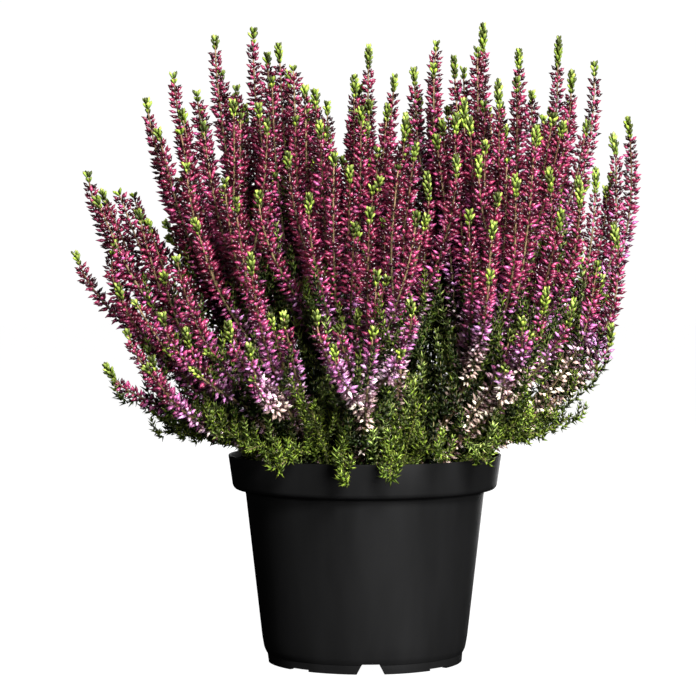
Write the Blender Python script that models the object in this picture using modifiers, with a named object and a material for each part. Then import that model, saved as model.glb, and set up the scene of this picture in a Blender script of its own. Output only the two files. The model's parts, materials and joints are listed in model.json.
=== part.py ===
"""Potted heather: bud-flowering ling in a round nursery pot.

Metres, +Z up. The origin lies on the pot's axis, on the surface it stands on.
The front of the plant faces -Y. Sizes below are in millimetres unless a name says otherwise.
"""
import math

import bmesh
import bpy
import numpy as np
from mathutils import Vector

MM = 0.001

# Pot
RIM_RADIUS = 65.0
RIM_TOP = 98.5
RIM_BAND = 14.5
RIM_TAPER = 2.1
BODY_TOP_RADIUS = 56.7
BODY_LOW_RADIUS = 48.9
FOOT_RADIUS = 46.4
FOOT_WIDTH = 2.8
FLOOR_UNDERSIDE = 6.0
WALL = 1.2
POT_STEPS = 32
NOTCH_ANGLE = 3.0
NOTCH_WIDTH = 16.0
NOTCH_TOP_WIDTH = 8.0
NOTCH_HEIGHT = 4.8
GAP_ANGLE = 48.0
GAP_WIDTH = 12.0
GAP_HEIGHT = 1.0
DRAIN_RADIUS = 4.0
DRAIN_CIRCLE = 30.0

# Soil
SOIL_TOP = 87.0
CLEARANCE = 0.3
SOIL_STEPS = 16
HOLE_DEPTH = 10.5
HOLE_RADIUS = 2.25

# Plant
SEED = 11
VIEW_DISTANCE = 1260.0
VIEW_HEIGHT = 195.0
PLAN_HALF_WIDTH = 150.0
TIPS_PER_BRANCH = 3
BACK_ROWS = ((8.0, 80.0, 4), (32.0, 112.0, 6), (58.0, 126.0, 7), (82.0, 122.0, 7), (107.0, 92.0, 6))
ROOT_REACH = 41.0
ROOT_SPACING = 7.5
STEM_RADIUS = 1.25
BUD_STEM_RADIUS = 1.4
FORK_ROOT_RADIUS = 0.58
TIP_RADIUS = 0.55
BUD_REACH = 5.2
GREEN_REACH = 3.0
STEM_PITCH = 26.0
BUD_PITCH = 16.0
GREEN_PITCH = 8.5
LEAF_PITCH = 10.0
LEAF_REACH = 3.2
SKIRT_NODES = 10
SHOOT_TURN = math.radians(12.0)
SKIRT_ROOT_RADIUS = 53.0
SKIRT_SPREAD_LEFT = 24.0
SKIRT_SPREAD_RIGHT = 16.0
RING_TWIST = math.radians(38.0)

# Tips seen from the front: distance right of the pot's axis and height, as they measure at the axis
TIPS_TOP = (
    (-104, 267), (-91, 279), (-71, 296), (-53, 300), (-41, 293), (-36, 280), (-24, 271), (-5, 278),
    (2, 292), (14, 278), (34, 294), (42, 287), (47, 267), (56, 302), (63, 276), (73, 290), (92, 296),
    (98, 280), (109, 284), (125, 258), (118, 250),
)
TIPS_UPPER = (
    (-132, 232), (-127, 223), (-108, 214), (-85, 236), (-77, 256), (-63, 266), (-47, 257), (-33, 258),
    (-37, 241), (-2, 263), (-15, 241), (19, 260), (43, 260),
    (24, 246), (43, 240), (54, 240), (81, 254), (87, 234), (110, 234),
)
TIPS_MIDDLE = (
    (-138, 194), (-119, 201), (-90, 192), (-67, 229), (-51, 223), (-55, 194), (-27, 222), (2, 215),
    (24, 213), (29, 232), (49, 214), (63, 222), (71, 231), (101, 230), (93, 214), (115, 225), (118, 208),
)
TIPS_LOW = (
    (-118, 179), (-97, 165), (-66, 161), (-124, 141), (-102, 144), (-56, 150), (-24, 166), (5, 185),
    (21, 171), (59, 185), (86, 177), (113, 183), (-114, 157), (-86, 158), (99, 172), (74, 163), (-16, 150),
    (117, 160),
)

# Stems lean out straight on the left, and bow out low down and then rise on the right
BOW_SIDES = (-70, 50)
TIP_LEANS = (0.42, 0.04)
FIRST_RISES = (0.85, 0.42)
FIRST_HANDLES = (0.36, 0.46)

# How far in front of the axis a tip of a given height stands, and how high the back ones reach
FRONT_HEIGHTS = (140, 170, 215, 255, 285, 305)
FRONT_DEPTHS = (-102, -96, -77, -46, -6, 14)
BACK_DEPTHS = (20, 60, 90, 112)
BACK_HEIGHTS = (272, 246, 205, 158)


def plan_ellipse(x):
    """Share of the full depth that the plant has at a distance x from the axis."""
    return math.sqrt(max(0.06, 1.0 - (x / PLAN_HALF_WIDTH) ** 2))


def seen_tip(x, height, rng):
    """Place a tip that is seen from the front at its own depth, along the line of sight."""
    depth = float(np.interp(height, FRONT_HEIGHTS, FRONT_DEPTHS)) * plan_ellipse(x)
    depth += rng.uniform(-9.0, 9.0) * (2.6 if height > 262 else 1.0)
    if x < -118:
        depth = min(depth, -50.0)
    if x > 108:
        depth = max(depth, 45.0) if height > 220 else depth + 40.0
    scale = (VIEW_DISTANCE + depth) / VIEW_DISTANCE
    return (x * scale, depth, VIEW_HEIGHT + (height - VIEW_HEIGHT) * scale)


def plant_tips():
    """Every flowering tip: those seen from the front, then those of the back half."""
    rng = np.random.default_rng(SEED)
    tips = [seen_tip(x, height, rng) for x, height in TIPS_TOP + TIPS_UPPER + TIPS_MIDDLE + TIPS_LOW]
    for back, half_width, count in BACK_ROWS:
        for number in range(count):
            across = 2.0 * (number + 0.5) / count - 1.0
            x = half_width * across + rng.uniform(-6.0, 6.0)
            depth = (back + rng.uniform(-5.0, 5.0)) * plan_ellipse(x) ** 0.7
            height = float(np.interp(back, BACK_DEPTHS, BACK_HEIGHTS)) + rng.uniform(-7.0, 7.0)
            tips.append((x, depth, height - 30.0 * abs(across) ** 3))
    return np.array(tips)


def group_tips(tips):
    """Bunch neighbouring tips on one branch each, from the outside of the plant inwards."""
    left = list(range(len(tips)))
    outward = np.hypot(tips[:, 0], tips[:, 1]) - 0.5 * tips[:, 2]
    groups = []
    while left:
        first = max(left, key=lambda tip: outward[tip])
        near = sorted(left, key=lambda tip: np.linalg.norm((tips[tip] - tips[first]) * (1.0, 1.0, 0.6)))
        group = near[:TIPS_PER_BRANCH]
        group.sort(key=lambda tip: -tips[tip][2])
        groups.append(group)
        left = [tip for tip in left if tip not in group]
    return groups


def spread_roots(roots):
    """Move the branch roots apart until each has its own place in the soil."""
    roots = roots.copy()
    for _ in range(200):
        gap = roots[:, None, :] - roots[None, :, :]
        reach = np.linalg.norm(gap, axis=2) + np.eye(len(roots)) * 1e3
        push = np.clip(ROOT_SPACING - reach, 0.0, None) / reach
        roots += 0.4 * (gap * push[:, :, None]).sum(axis=1)
        out = np.linalg.norm(roots, axis=1)
        roots *= np.minimum(1.0, ROOT_REACH / out)[:, None]
    return roots


def unit(vector):
    return vector / np.linalg.norm(vector)


def bend_points(start, start_way, tip, tip_way, fractions, first_handle=0.36):
    """Points of a smooth bend between two ends, at fractions of its length."""
    reach = np.linalg.norm(tip - start)
    handles = (start, start + first_handle * reach * start_way, tip - 0.38 * reach * tip_way, tip)
    fine = np.linspace(0.0, 1.0, 80)[:, None]
    weights = ((1 - fine) ** 3, 3 * fine * (1 - fine) ** 2, 3 * fine ** 2 * (1 - fine), fine ** 3)
    curve = sum(weight * handle for weight, handle in zip(weights, handles))
    along = np.concatenate(([0.0], np.cumsum(np.linalg.norm(np.diff(curve, axis=0), axis=1))))
    wanted = np.asarray(fractions) * along[-1]
    return np.stack([np.interp(wanted, along, curve[:, axis]) for axis in range(3)], axis=1)


def zone_fractions(length, green, buds):
    """Ring places along a spike as fractions, and which zone each stretch between them is in."""
    stem = length - green - buds
    counts = (max(2, round(stem / STEM_PITCH)), max(2, round(buds / BUD_PITCH)),
              max(1, round(green / GREEN_PITCH)))
    places = [0.0]
    zones = []
    for zone, size, count in zip(("stem", "buds", "green"), (stem, buds, green), counts):
        for _ in range(count):
            places.append(places[-1] + size / count / length)
            zones.append(zone)
    return np.array(places), zones


def grow_spike(start, start_way, tip, rng, from_soil):
    """One flowering spike: its bend, and how far it reaches from its stem at each point."""
    rise = tip - start
    outward = np.array((rise[0], rise[1], 0.0))
    lean = np.interp(tip[0], BOW_SIDES, TIP_LEANS)
    tip_way = unit(outward * lean + np.array((rng.normal(0, 5), rng.normal(0, 5), 1.15 * rise[2] + 20.0)))
    length = 1.06 * np.linalg.norm(rise)
    above_soil = 1.06 * np.linalg.norm(tip - np.array((0.3 * tip[0], 0.3 * tip[1], SOIL_TOP)))
    green = rng.uniform(11.0, 18.0)
    buds = min(0.56 * above_soil, 100.0, length - green - 14.0)
    fractions, zones = zone_fractions(length, green, buds)
    handle = np.interp(tip[0], BOW_SIDES, FIRST_HANDLES)
    points = bend_points(start, start_way, tip, tip_way, fractions, handle)
    reach = []
    for place in range(len(points)):
        before = zones[max(0, place - 1)]
        after = zones[min(place, len(zones) - 1)]
        if "buds" in (before, after):
            reach.append(4.2 if before == "stem" else (3.4 if after == "green" else BUD_REACH))
        else:
            reach.append(GREEN_REACH if after == "green" else STEM_RADIUS)
    reach[-1] = 0.7
    if from_soil:
        foot = np.array((start[0], start[1], SOIL_TOP - HOLE_DEPTH + CLEARANCE))
        points = np.vstack((foot, points))
        reach.insert(0, STEM_RADIUS)
        zones.insert(0, "stem")
    return {"points": points, "reach": np.array(reach), "zones": zones}


def grow_branches():
    """All flowering branches: a main spike from the soil, and side spikes that fork from it."""
    rng = np.random.default_rng(SEED + 1)
    tips = plant_tips()
    groups = group_tips(tips)
    means = np.array([tips[group].mean(axis=0) for group in groups])
    lowness = np.clip((300.0 - means[:, 2]) / 150.0, 0.0, 1.0)
    roots = spread_roots(means[:, :2] * (0.27 + 0.10 * lowness)[:, None])
    spikes = []
    for branch, (group, root) in enumerate(zip(groups, roots)):
        start = np.array((root[0], root[1], SOIL_TOP + 1.5))
        rise = tips[group[0]] - start
        first_rise = np.interp(tips[group[0]][0], BOW_SIDES, FIRST_RISES)
        main = grow_spike(start, unit(rise * (1.15, 1.15, first_rise)), tips[group[0]], rng, True)
        main.update(node=branch, parent=None)
        main_index = len(spikes)
        spikes.append(main)
        for tip in group[1:]:
            fork_height = SOIL_TOP + 10.0 + 0.24 * (min(tips[tip][2], tips[group[0]][2]) - SOIL_TOP)
            fork = int(np.argmin(abs(main["points"][:, 2] - fork_height)))
            fork = max(2, fork)
            fork_point = main["points"][fork]
            main_way = unit(main["points"][fork + 1] - main["points"][fork - 1])
            way = unit(main_way + 0.9 * unit(tips[tip] - fork_point))
            side = grow_spike(fork_point, way, tips[tip], rng, False)
            side.update(node=branch, parent=(main_index, fork))
            spikes.append(side)
    return spikes, len(groups)


def grow_skirt(first_node, first_index):
    """Low leafy shoots, three from each foot: two lean out over the rim and one rises outwards."""
    rng = np.random.default_rng(SEED + 2)
    up = np.array((0.0, 0.0, 1.0))
    shoots = []
    for number in range(SKIRT_NODES):
        middle_turn = 2.0 * math.pi * (number + 0.5) / SKIRT_NODES
        foot_out = np.array((math.sin(middle_turn), -math.cos(middle_turn), 0.0))
        start = SKIRT_ROOT_RADIUS * foot_out + (SOIL_TOP + 1.5) * up
        for side in (-1, 0, 1):
            turn = middle_turn + side * SHOOT_TURN + rng.uniform(-0.05, 0.05)
            sideways = abs(math.sin(turn))
            out = np.array((math.sin(turn), -math.cos(turn), 0.0))
            hangs = side != 0
            spread = SKIRT_SPREAD_RIGHT if turn < math.pi else SKIRT_SPREAD_LEFT
            radius = 75.0 + spread * sideways ** 2 + rng.uniform(-3.0, 3.0)
            height = 90.0 + 25.0 * sideways ** 1.5 + rng.uniform(-4.0, 4.0)
            way = out * (0.25 + sideways) + up * (sideways - 0.85)
            if not hangs:
                radius += 6.0
                height = 122.0 + rng.uniform(-5.0, 8.0)
                way = 0.6 * out + up
            end = radius * out + height * up
            count = round(1.15 * np.linalg.norm(end - start) / LEAF_PITCH)
            start_way = unit((0.45 if hangs else 0.8) * out + up)
            points = bend_points(start, start_way, end, unit(way), np.linspace(0.0, 1.0, count + 1))
            reach = np.full(count + 1, LEAF_REACH)
            reach[0] = STEM_RADIUS
            reach[-1] = 0.8
            zones = ["stem"] + ["leaves"] * (count - 1)
            parent = (first_index + 3 * number, 1)
            if side == -1:
                points = np.vstack((start - (1.5 + HOLE_DEPTH - CLEARANCE) * up, points))
                reach = np.insert(reach, 0, STEM_RADIUS)
                zones = ["stem"] + zones
                parent = None
            shoots.append({"points": points, "reach": reach, "zones": zones,
                           "node": first_node + number, "parent": parent})
    return shoots


def closest_on_segments(start_a, way_a, start_b, way_b):
    """Where along each of two rows of segments their closest points lie, from 0 to 1."""
    between = start_a - start_b
    aa = (way_a * way_a).sum(1)
    bb = (way_b * way_b).sum(1)
    ab = (way_a * way_b).sum(1)
    ad = (way_a * between).sum(1)
    bd = (way_b * between).sum(1)
    flat = np.maximum(aa * bb - ab * ab, 1e-9)
    on_a = np.clip((ab * bd - ad * bb) / flat, 0.0, 1.0)
    on_b = np.clip((ab * on_a + bd) / bb, 0.0, 1.0)
    on_a = np.clip((ab * on_b - ad) / aa, 0.0, 1.0)
    return on_a, on_b


def off_the_pot(points, reach):
    """How far to move each point to clear the rim and the wall below it by its own reach."""
    radius = np.maximum(np.hypot(points[:, 0], points[:, 1]), 1e-6)
    across = radius - np.clip(radius, RIM_RADIUS - 3.4, RIM_RADIUS + 0.2)
    rise = points[:, 2] - np.minimum(points[:, 2], RIM_TOP + 0.2)
    span = np.hypot(across, rise)
    inside = span < 1e-3
    rise = np.where(inside, 1.0, rise)
    depth = np.where(inside, RIM_TOP + 0.2 - points[:, 2], 0.0)
    lift = np.clip(reach + 0.7 - span, 0.0, None) + depth
    lift[(points[:, 2] < SOIL_TOP + 1.6) & (radius < RIM_RADIUS - 5.0)] = 0.0
    scale = lift / np.maximum(np.hypot(across, rise), 1e-6)
    outward = points[:, :2] / radius[:, None]
    return np.column_stack((outward * (across * scale)[:, None], rise * scale))


class Bush:
    """All spikes and shoots as one set of points, so that they can be bent clear of each other."""

    def __init__(self, spikes):
        self.spikes = spikes
        sizes = [len(spike["points"]) for spike in spikes]
        self.first = np.concatenate(([0], np.cumsum(sizes)))
        self.points = np.vstack([spike["points"] for spike in spikes])
        self.home = self.points.copy()
        self.reach = np.concatenate([spike["reach"] for spike in spikes])
        self.fixed = np.zeros(len(self.points), bool)
        self.inner = np.zeros(len(self.points), bool)
        self.follows = []
        segments, nodes, steps = [], [], []
        for index, spike in enumerate(spikes):
            low, high = self.first[index], self.first[index + 1]
            self.inner[low + 1:high - 1] = True
            if spike["parent"] is None:
                self.fixed[low:low + 2] = True
            else:
                parent, fork = spike["parent"]
                self.follows.append((low, self.first[parent] + fork))
            segments.extend(range(low, high - 1))
            nodes.extend([spike["node"]] * (high - 1 - low))
            steps.extend(range(high - 1 - low))
        self.segments = np.array(segments)
        self.nodes = np.array(nodes)
        self.steps = np.array(steps)
        inner = np.flatnonzero(self.inner)
        self.inner_rows = inner
        self.bow = self.home[inner] - 0.5 * (self.home[inner - 1] + self.home[inner + 1])

    def near_pairs(self, margin):
        """Pairs of segments of different branches, or far from their fork, that might meet."""
        low = self.points[self.segments]
        high = self.points[self.segments + 1]
        middle = 0.5 * (low + high)
        half = 0.5 * np.linalg.norm(high - low, axis=1)
        size = half + np.maximum(self.reach[self.segments], self.reach[self.segments + 1])
        one, two = np.triu_indices(len(middle), 1)
        span = np.linalg.norm(middle[one] - middle[two], axis=1)
        apart = self.nodes[one] != self.nodes[two]
        grown = np.minimum(self.steps[one], self.steps[two]) >= 5
        near = (span < size[one] + size[two] + margin) & (apart | grown)
        near &= ~((self.nodes[one] == self.nodes[two]) & (abs(one - two) < 6))
        return one[near], two[near]

    def gaps(self, one, two):
        """Room left between each pair, with where the closest points lie and which way to part."""
        first_a, first_b = self.segments[one], self.segments[two]
        way_a = self.points[first_a + 1] - self.points[first_a]
        way_b = self.points[first_b + 1] - self.points[first_b]
        on_a, on_b = closest_on_segments(self.points[first_a], way_a, self.points[first_b], way_b)
        part = (self.points[first_a] + way_a * on_a[:, None]) - (self.points[first_b] + way_b * on_b[:, None])
        span = np.linalg.norm(part, axis=1)
        reach_a = self.reach[first_a] * (1 - on_a) + self.reach[first_a + 1] * on_a
        reach_b = self.reach[first_b] * (1 - on_b) + self.reach[first_b + 1] * on_b
        crossing = np.cross(way_a, way_b)
        crossing /= np.maximum(np.linalg.norm(crossing, axis=1), 1e-6)[:, None]
        part = np.where((span < 0.2)[:, None], crossing, part / np.maximum(span, 1e-6)[:, None])
        return span - reach_a - reach_b, on_a, on_b, part

    def part_branches(self, one, two, wanted, share):
        room, on_a, on_b, part = self.gaps(one, two)
        close = room < wanted
        if not close.any():
            return
        first_a, first_b = self.segments[one[close]], self.segments[two[close]]
        on_a, on_b = on_a[close], on_b[close]
        shove = (share * (wanted - room[close]))[:, None] * part[close] * (1.0, 1.0, 0.45)
        total = np.zeros_like(self.points)
        count = np.zeros(len(self.points))
        for rows, weight, sign in ((first_a, 1 - on_a, 1), (first_a + 1, on_a, 1),
                                   (first_b, 1 - on_b, -1), (first_b + 1, on_b, -1)):
            np.add.at(total, rows, sign * weight[:, None] * shove)
            np.add.at(count, rows, weight)
        total /= np.maximum(count, 1.0)[:, None] ** 0.6
        self.points[~self.fixed] += total[~self.fixed]

    def clear_pot(self):
        """Lift stems over the rim, push them off the wall, and keep them above the soil."""
        low, high = self.segments, self.segments + 1
        for share in (0.0, 0.33, 0.67):
            middle = (1.0 - share) * self.points[low] + share * self.points[high]
            reach = np.maximum(self.reach[low], self.reach[high])
            shove = off_the_pot(middle, reach)
            total = np.zeros_like(self.points)
            np.add.at(total, low, (1.0 - share) * shove)
            np.add.at(total, high, share * shove)
            self.points[~self.fixed] += total[~self.fixed]
        over_soil = np.hypot(self.points[:, 0], self.points[:, 1]) < RIM_RADIUS - 3.0
        low = over_soil & ~self.fixed
        self.points[low, 2] = np.maximum(self.points[low, 2], SOIL_TOP + 0.6 + self.reach[low])

    def settle(self, rounds):
        """Bend everything clear, keeping each stem's own bow and each tip near its place."""
        ends = self.first[1:] - 1
        for step in range(rounds):
            if step % 8 == 0:
                one, two = self.near_pairs(7.0)
            late = step / rounds
            self.part_branches(one, two, 0.75, 0.45)
            rows = self.inner_rows
            smooth = 0.5 * (self.points[rows - 1] + self.points[rows + 1]) + self.bow - self.points[rows]
            smooth[self.fixed[rows]] = 0.0
            self.points[rows] += (0.32 * (1.0 - late) + 0.04) * smooth
            self.points[ends] += 0.06 * (1.0 - late) * (self.home[ends] - self.points[ends]) * (1.0, 0.3, 1.0)
            self.clear_pot()
            for row, fork in self.follows:
                self.points[row] = self.points[fork]

    def trim_reach(self):
        """Where two spikes stay too close, their buds there are shorter."""
        one, two = self.near_pairs(2.0)
        for _ in range(12):
            room, on_a, on_b, _ = self.gaps(one, two)
            close = room < 1.15 * CLEARANCE
            if not close.any():
                break
            for rows in (self.segments[one[close]], self.segments[two[close]]):
                for end in (rows, rows + 1):
                    self.reach[end] = np.maximum(np.minimum(self.reach[end], 1.4), self.reach[end] * 0.93)

    def spread(self):
        for index, spike in enumerate(self.spikes):
            low, high = self.first[index], self.first[index + 1]
            spike["points"] = self.points[low:high].copy()
            spike["reach"] = self.reach[low:high].copy()
        return self.spikes


def grow_plant():
    """Every spike and shoot, bent clear of the others, the pot and the soil."""
    spikes, branches = grow_branches()
    shoots = grow_skirt(branches, len(spikes))
    bush = Bush(spikes + shoots)
    bush.settle(260)
    bush.trim_reach()
    return bush.spread(), branches


def clear_scene():
    for item in list(bpy.data.objects):
        bpy.data.objects.remove(item, do_unlink=True)


def collection(name):
    made = bpy.data.collections.new(name)
    bpy.context.scene.collection.children.link(made)
    return made


def material(name, color, roughness):
    made = bpy.data.materials.new(name)
    made.use_nodes = True
    shader = made.node_tree.nodes["Principled BSDF"]
    shader.inputs["Base Color"].default_value = (*color, 1.0)
    shader.inputs["Roughness"].default_value = roughness
    shader.inputs["Metallic"].default_value = 0.0
    made.diffuse_color = (*color, 1.0)
    return made


def turned(name, profile, steps, home):
    """A body turned round Z from a profile in millimetres, which runs down its outer side."""
    mesh = bpy.data.meshes.new(name)
    verts = [(radius * MM, 0.0, height * MM) for radius, height in profile]
    mesh.from_pydata(verts, [(row, row + 1) for row in range(len(verts) - 1)], [])
    body = bpy.data.objects.new(name, mesh)
    home.objects.link(body)
    screw = body.modifiers.new("turn", "SCREW")
    screw.axis = "Z"
    screw.steps = steps
    screw.render_steps = steps
    screw.use_merge_vertices = True
    screw.merge_threshold = 0.00001
    screw.use_smooth_shade = True
    return body


def pot_profile():
    """Section of the wall, from the middle of the inner floor over the rim to the underside."""
    band_foot = RIM_TOP - RIM_BAND
    band_radius = RIM_RADIUS - RIM_TAPER
    floor_top = FLOOR_UNDERSIDE + WALL
    inside = [
        (0.0, floor_top),
        (BODY_LOW_RADIUS - WALL - 1.6, floor_top),
        (BODY_LOW_RADIUS - WALL, 11.5),
        (BODY_TOP_RADIUS - WALL, band_foot - 3.0),
        (band_radius - WALL - 0.5, band_foot + 0.8),
        (RIM_RADIUS - WALL, RIM_TOP - 0.3),
    ]
    outside = [
        (RIM_RADIUS - 0.5 * WALL, RIM_TOP),
        (RIM_RADIUS, RIM_TOP - 0.4),
        (band_radius, band_foot),
        (band_radius - 1.0, band_foot - 1.4),
        (BODY_TOP_RADIUS, band_foot - 3.8),
        (BODY_LOW_RADIUS, 11.5),
        (BODY_LOW_RADIUS - 0.8, 7.2),
        (FOOT_RADIUS + 0.4, 4.3),
        (FOOT_RADIUS, 0.0),
        (FOOT_RADIUS - FOOT_WIDTH, 0.0),
        (FOOT_RADIUS - FOOT_WIDTH - 0.2, FLOOR_UNDERSIDE),
        (0.0, FLOOR_UNDERSIDE),
    ]
    return inside + outside


def block_cutter(name, width, top_width, height, turn, home):
    """A block across the foot ring, narrower at its top, at an angle from the front."""
    bpy.ops.mesh.primitive_cube_add(size=2.0)
    block = bpy.context.object
    block.name = name
    low = -1.0
    for vert in block.data.vertices:
        top = vert.co.z > 0
        half = 0.5 * (top_width if top else width)
        vert.co.x = math.copysign(half, vert.co.x) * MM
        vert.co.y = (-FOOT_RADIUS + math.copysign(FOOT_WIDTH + 3.0, vert.co.y)) * MM
        vert.co.z = (height if top else low) * MM
    block.rotation_euler.z = math.radians(turn)
    move_to(block, home)
    return block


def move_to(item, home):
    for owner in list(item.users_collection):
        owner.objects.unlink(item)
    home.objects.link(item)
    if home.name.endswith("cutters"):
        item.hide_render = True
        item.display_type = "WIRE"


def cut(body, cutters):
    boolean = body.modifiers.new("cut", "BOOLEAN")
    boolean.operation = "DIFFERENCE"
    boolean.solver = "EXACT"
    boolean.operand_type = "COLLECTION"
    boolean.collection = cutters


def make_pot(home, look):
    """The pot: rim band, tapered body, and a foot ring with notches, gaps and drain holes."""
    pot = turned("pot", pot_profile(), POT_STEPS, home)
    cutters = collection("pot_cutters")
    for quarter in range(4):
        turn = 90.0 * quarter
        block_cutter(f"notch_{quarter}", NOTCH_WIDTH + 3.0, NOTCH_TOP_WIDTH, NOTCH_HEIGHT,
                     NOTCH_ANGLE + turn, cutters)
        block_cutter(f"gap_{quarter}", GAP_WIDTH, GAP_WIDTH, GAP_HEIGHT, GAP_ANGLE + turn, cutters)
        angle = math.radians(turn + 45.0)
        bpy.ops.mesh.primitive_cylinder_add(
            vertices=12, radius=DRAIN_RADIUS * MM, depth=4.0 * WALL * MM,
            location=(DRAIN_CIRCLE * MM * math.cos(angle), DRAIN_CIRCLE * MM * math.sin(angle),
                      (FLOOR_UNDERSIDE + 0.5 * WALL) * MM))
        drain = bpy.context.object
        drain.name = f"drain_{quarter}"
        move_to(drain, cutters)
    cut(pot, cutters)
    pot.data.materials.append(look)
    return pot


def make_soil(home, look, roots):
    """Soil up to just under the rim, with a plain hole for each stem."""
    floor_top = FLOOR_UNDERSIDE + WALL
    band_foot = RIM_TOP - RIM_BAND
    ease = CLEARANCE + 0.25
    profile = [
        (0.0, SOIL_TOP),
        (RIM_RADIUS - RIM_TAPER - WALL - 0.2 - ease, SOIL_TOP),
        (RIM_RADIUS - RIM_TAPER - WALL - 0.5 - ease, band_foot + 1.4),
        (BODY_TOP_RADIUS - WALL - ease, band_foot - 3.0),
        (BODY_LOW_RADIUS - WALL - ease, 11.5),
        (BODY_LOW_RADIUS - WALL - 1.8 - ease, floor_top + CLEARANCE),
        (0.0, floor_top + CLEARANCE),
    ]
    soil = turned("soil", profile, SOIL_STEPS, home)
    cutters = collection("soil_cutters")
    for number, root in enumerate(roots):
        bpy.ops.mesh.primitive_cylinder_add(
            vertices=4, radius=HOLE_RADIUS * MM, depth=2.0 * HOLE_DEPTH * MM,
            location=(root[0] * MM, root[1] * MM, SOIL_TOP * MM))
        hole = bpy.context.object
        hole.name = f"stem_hole_{number:02d}"
        move_to(hole, cutters)
    cut(soil, cutters)
    soil.data.materials.append(look)
    return soil


def triangle_section(guides):
    """Three-sided section of every stem, of unit radius in millimetres."""
    data = bpy.data.curves.new("stem_section", "CURVE")
    data.dimensions = "2D"
    spline = data.splines.new("POLY")
    spline.points.add(2)
    for number, point in enumerate(spline.points):
        angle = 2.0 * math.pi * number / 3
        point.co = (MM * math.cos(angle), MM * math.sin(angle), 0.0, 1.0)
    spline.use_cyclic_u = True
    section = bpy.data.objects.new("stem_section", data)
    move_to(section, guides)
    return section


def stem_radii(spike):
    radii = np.where(spike["reach"] > 2.0, BUD_STEM_RADIUS, STEM_RADIUS)
    radii[-1] = TIP_RADIUS
    if spike["parent"] is not None:
        radii[0] = FORK_ROOT_RADIUS
    return radii


def stem_mesh(name, spike, section, guides):
    """The bare three-sided stem as a closed mesh, its ends capped."""
    data = bpy.data.curves.new(name, "CURVE")
    data.dimensions = "3D"
    data.bevel_mode = "OBJECT"
    data.bevel_object = section
    data.use_fill_caps = True
    spline = data.splines.new("POLY")
    spline.points.add(len(spike["points"]) - 1)
    radii = stem_radii(spike)
    for number, point in enumerate(spline.points):
        point.co = (*(spike["points"][number] * MM), 1.0)
        point.radius = radii[number]
        point.tilt = RING_TWIST * number
    curve = bpy.data.objects.new(name, data)
    move_to(curve, guides)
    evaluated = curve.evaluated_get(bpy.context.evaluated_depsgraph_get())
    mesh = bpy.data.meshes.new_from_object(evaluated)
    bpy.data.objects.remove(curve)
    return mesh


ZONE_LOOKS = {"stem": 0, "buds": 1, "green": 2, "leaves": 2}


def raise_buds(mesh, spike):
    """Raise each side face of the bud and leaf zones into a pointed bud that leans up and out."""
    points = spike["points"] * MM
    middles = 0.5 * (points[:-1] + points[1:])
    ways = points[1:] - points[:-1]
    shape = bmesh.new()
    shape.from_mesh(mesh)
    bmesh.ops.remove_doubles(shape, verts=shape.verts, dist=0.00001)
    bmesh.ops.recalc_face_normals(shape, faces=shape.faces)

    def stretch_of(face_middle):
        return int(np.argmin(np.linalg.norm(middles - np.array(face_middle), axis=1)))

    raised = []
    for face in shape.faces:
        stretch = stretch_of(face.calc_center_median())
        face.material_index = ZONE_LOOKS[spike["zones"][stretch]]
        last = stretch == len(ways) - 1
        if spike["zones"][stretch] != "stem" and len(face.verts) == 4 and not last:
            raised.append(face)
    poked = bmesh.ops.poke(shape, faces=raised)
    for vert in poked["verts"]:
        stretch = stretch_of(vert.co)
        way = Vector(ways[stretch])
        size = way.length
        way.normalize()
        middle = Vector(middles[stretch])
        out = vert.co - middle
        out -= out.dot(way) * way
        out.normalize()
        reach = 0.96 * MM * float(spike["reach"][stretch:stretch + 2].min())
        vert.co = middle + reach * out + 0.30 * size * way
    bmesh.ops.triangulate(shape, faces=shape.faces)
    shape.to_mesh(mesh)
    shape.free()


def keep_outer_shell(mesh):
    """Fill hollows that the joined buds seal, and drop loose scraps: only the outer skin stays."""
    shape = bmesh.new()
    shape.from_mesh(mesh)
    bmesh.ops.triangulate(shape, faces=shape.faces)
    shells = []
    seen = set()
    for face in shape.faces:
        if face in seen:
            continue
        shell = [face]
        seen.add(face)
        for member in shell:
            for edge in member.edges:
                for neighbour in edge.link_faces:
                    if neighbour not in seen:
                        seen.add(neighbour)
                        shell.append(neighbour)
        volume = sum(part.verts[0].co.dot(part.verts[1].co.cross(part.verts[2].co)) for part in shell)
        shells.append((volume, shell))
    outer = max(shells, key=lambda entry: entry[0])[1]
    spare = [face for _, shell in shells if shell is not outer for face in shell]
    bmesh.ops.delete(shape, geom=spare, context="FACES")
    shape.to_mesh(mesh)
    shape.free()


def make_plant_node(name, spikes, looks, section, guides, home):
    """One branch: its spikes raised with buds and joined in one body."""
    made = []
    for number, spike in enumerate(spikes):
        mesh = stem_mesh(f"{name}_{number}", spike, section, guides)
        raise_buds(mesh, spike)
        mesh.materials.clear()
        for look in looks:
            mesh.materials.append(look)
        made.append(bpy.data.objects.new(f"{name}_{number}", mesh))
    body = made[0]
    body.name = name
    home.objects.link(body)
    if len(made) == 1:
        return body
    joined = collection(f"{name}_joined")
    for side in made[1:]:
        joined.objects.link(side)
    union = body.modifiers.new("join", "BOOLEAN")
    union.operation = "UNION"
    union.solver = "EXACT"
    union.operand_type = "COLLECTION"
    union.collection = joined
    evaluated = body.evaluated_get(bpy.context.evaluated_depsgraph_get())
    mesh = bpy.data.meshes.new_from_object(evaluated)
    keep_outer_shell(mesh)
    body.modifiers.clear()
    body.data = mesh
    for side in made[1:]:
        bpy.data.objects.remove(side)
    bpy.data.collections.remove(joined)
    return body


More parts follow.
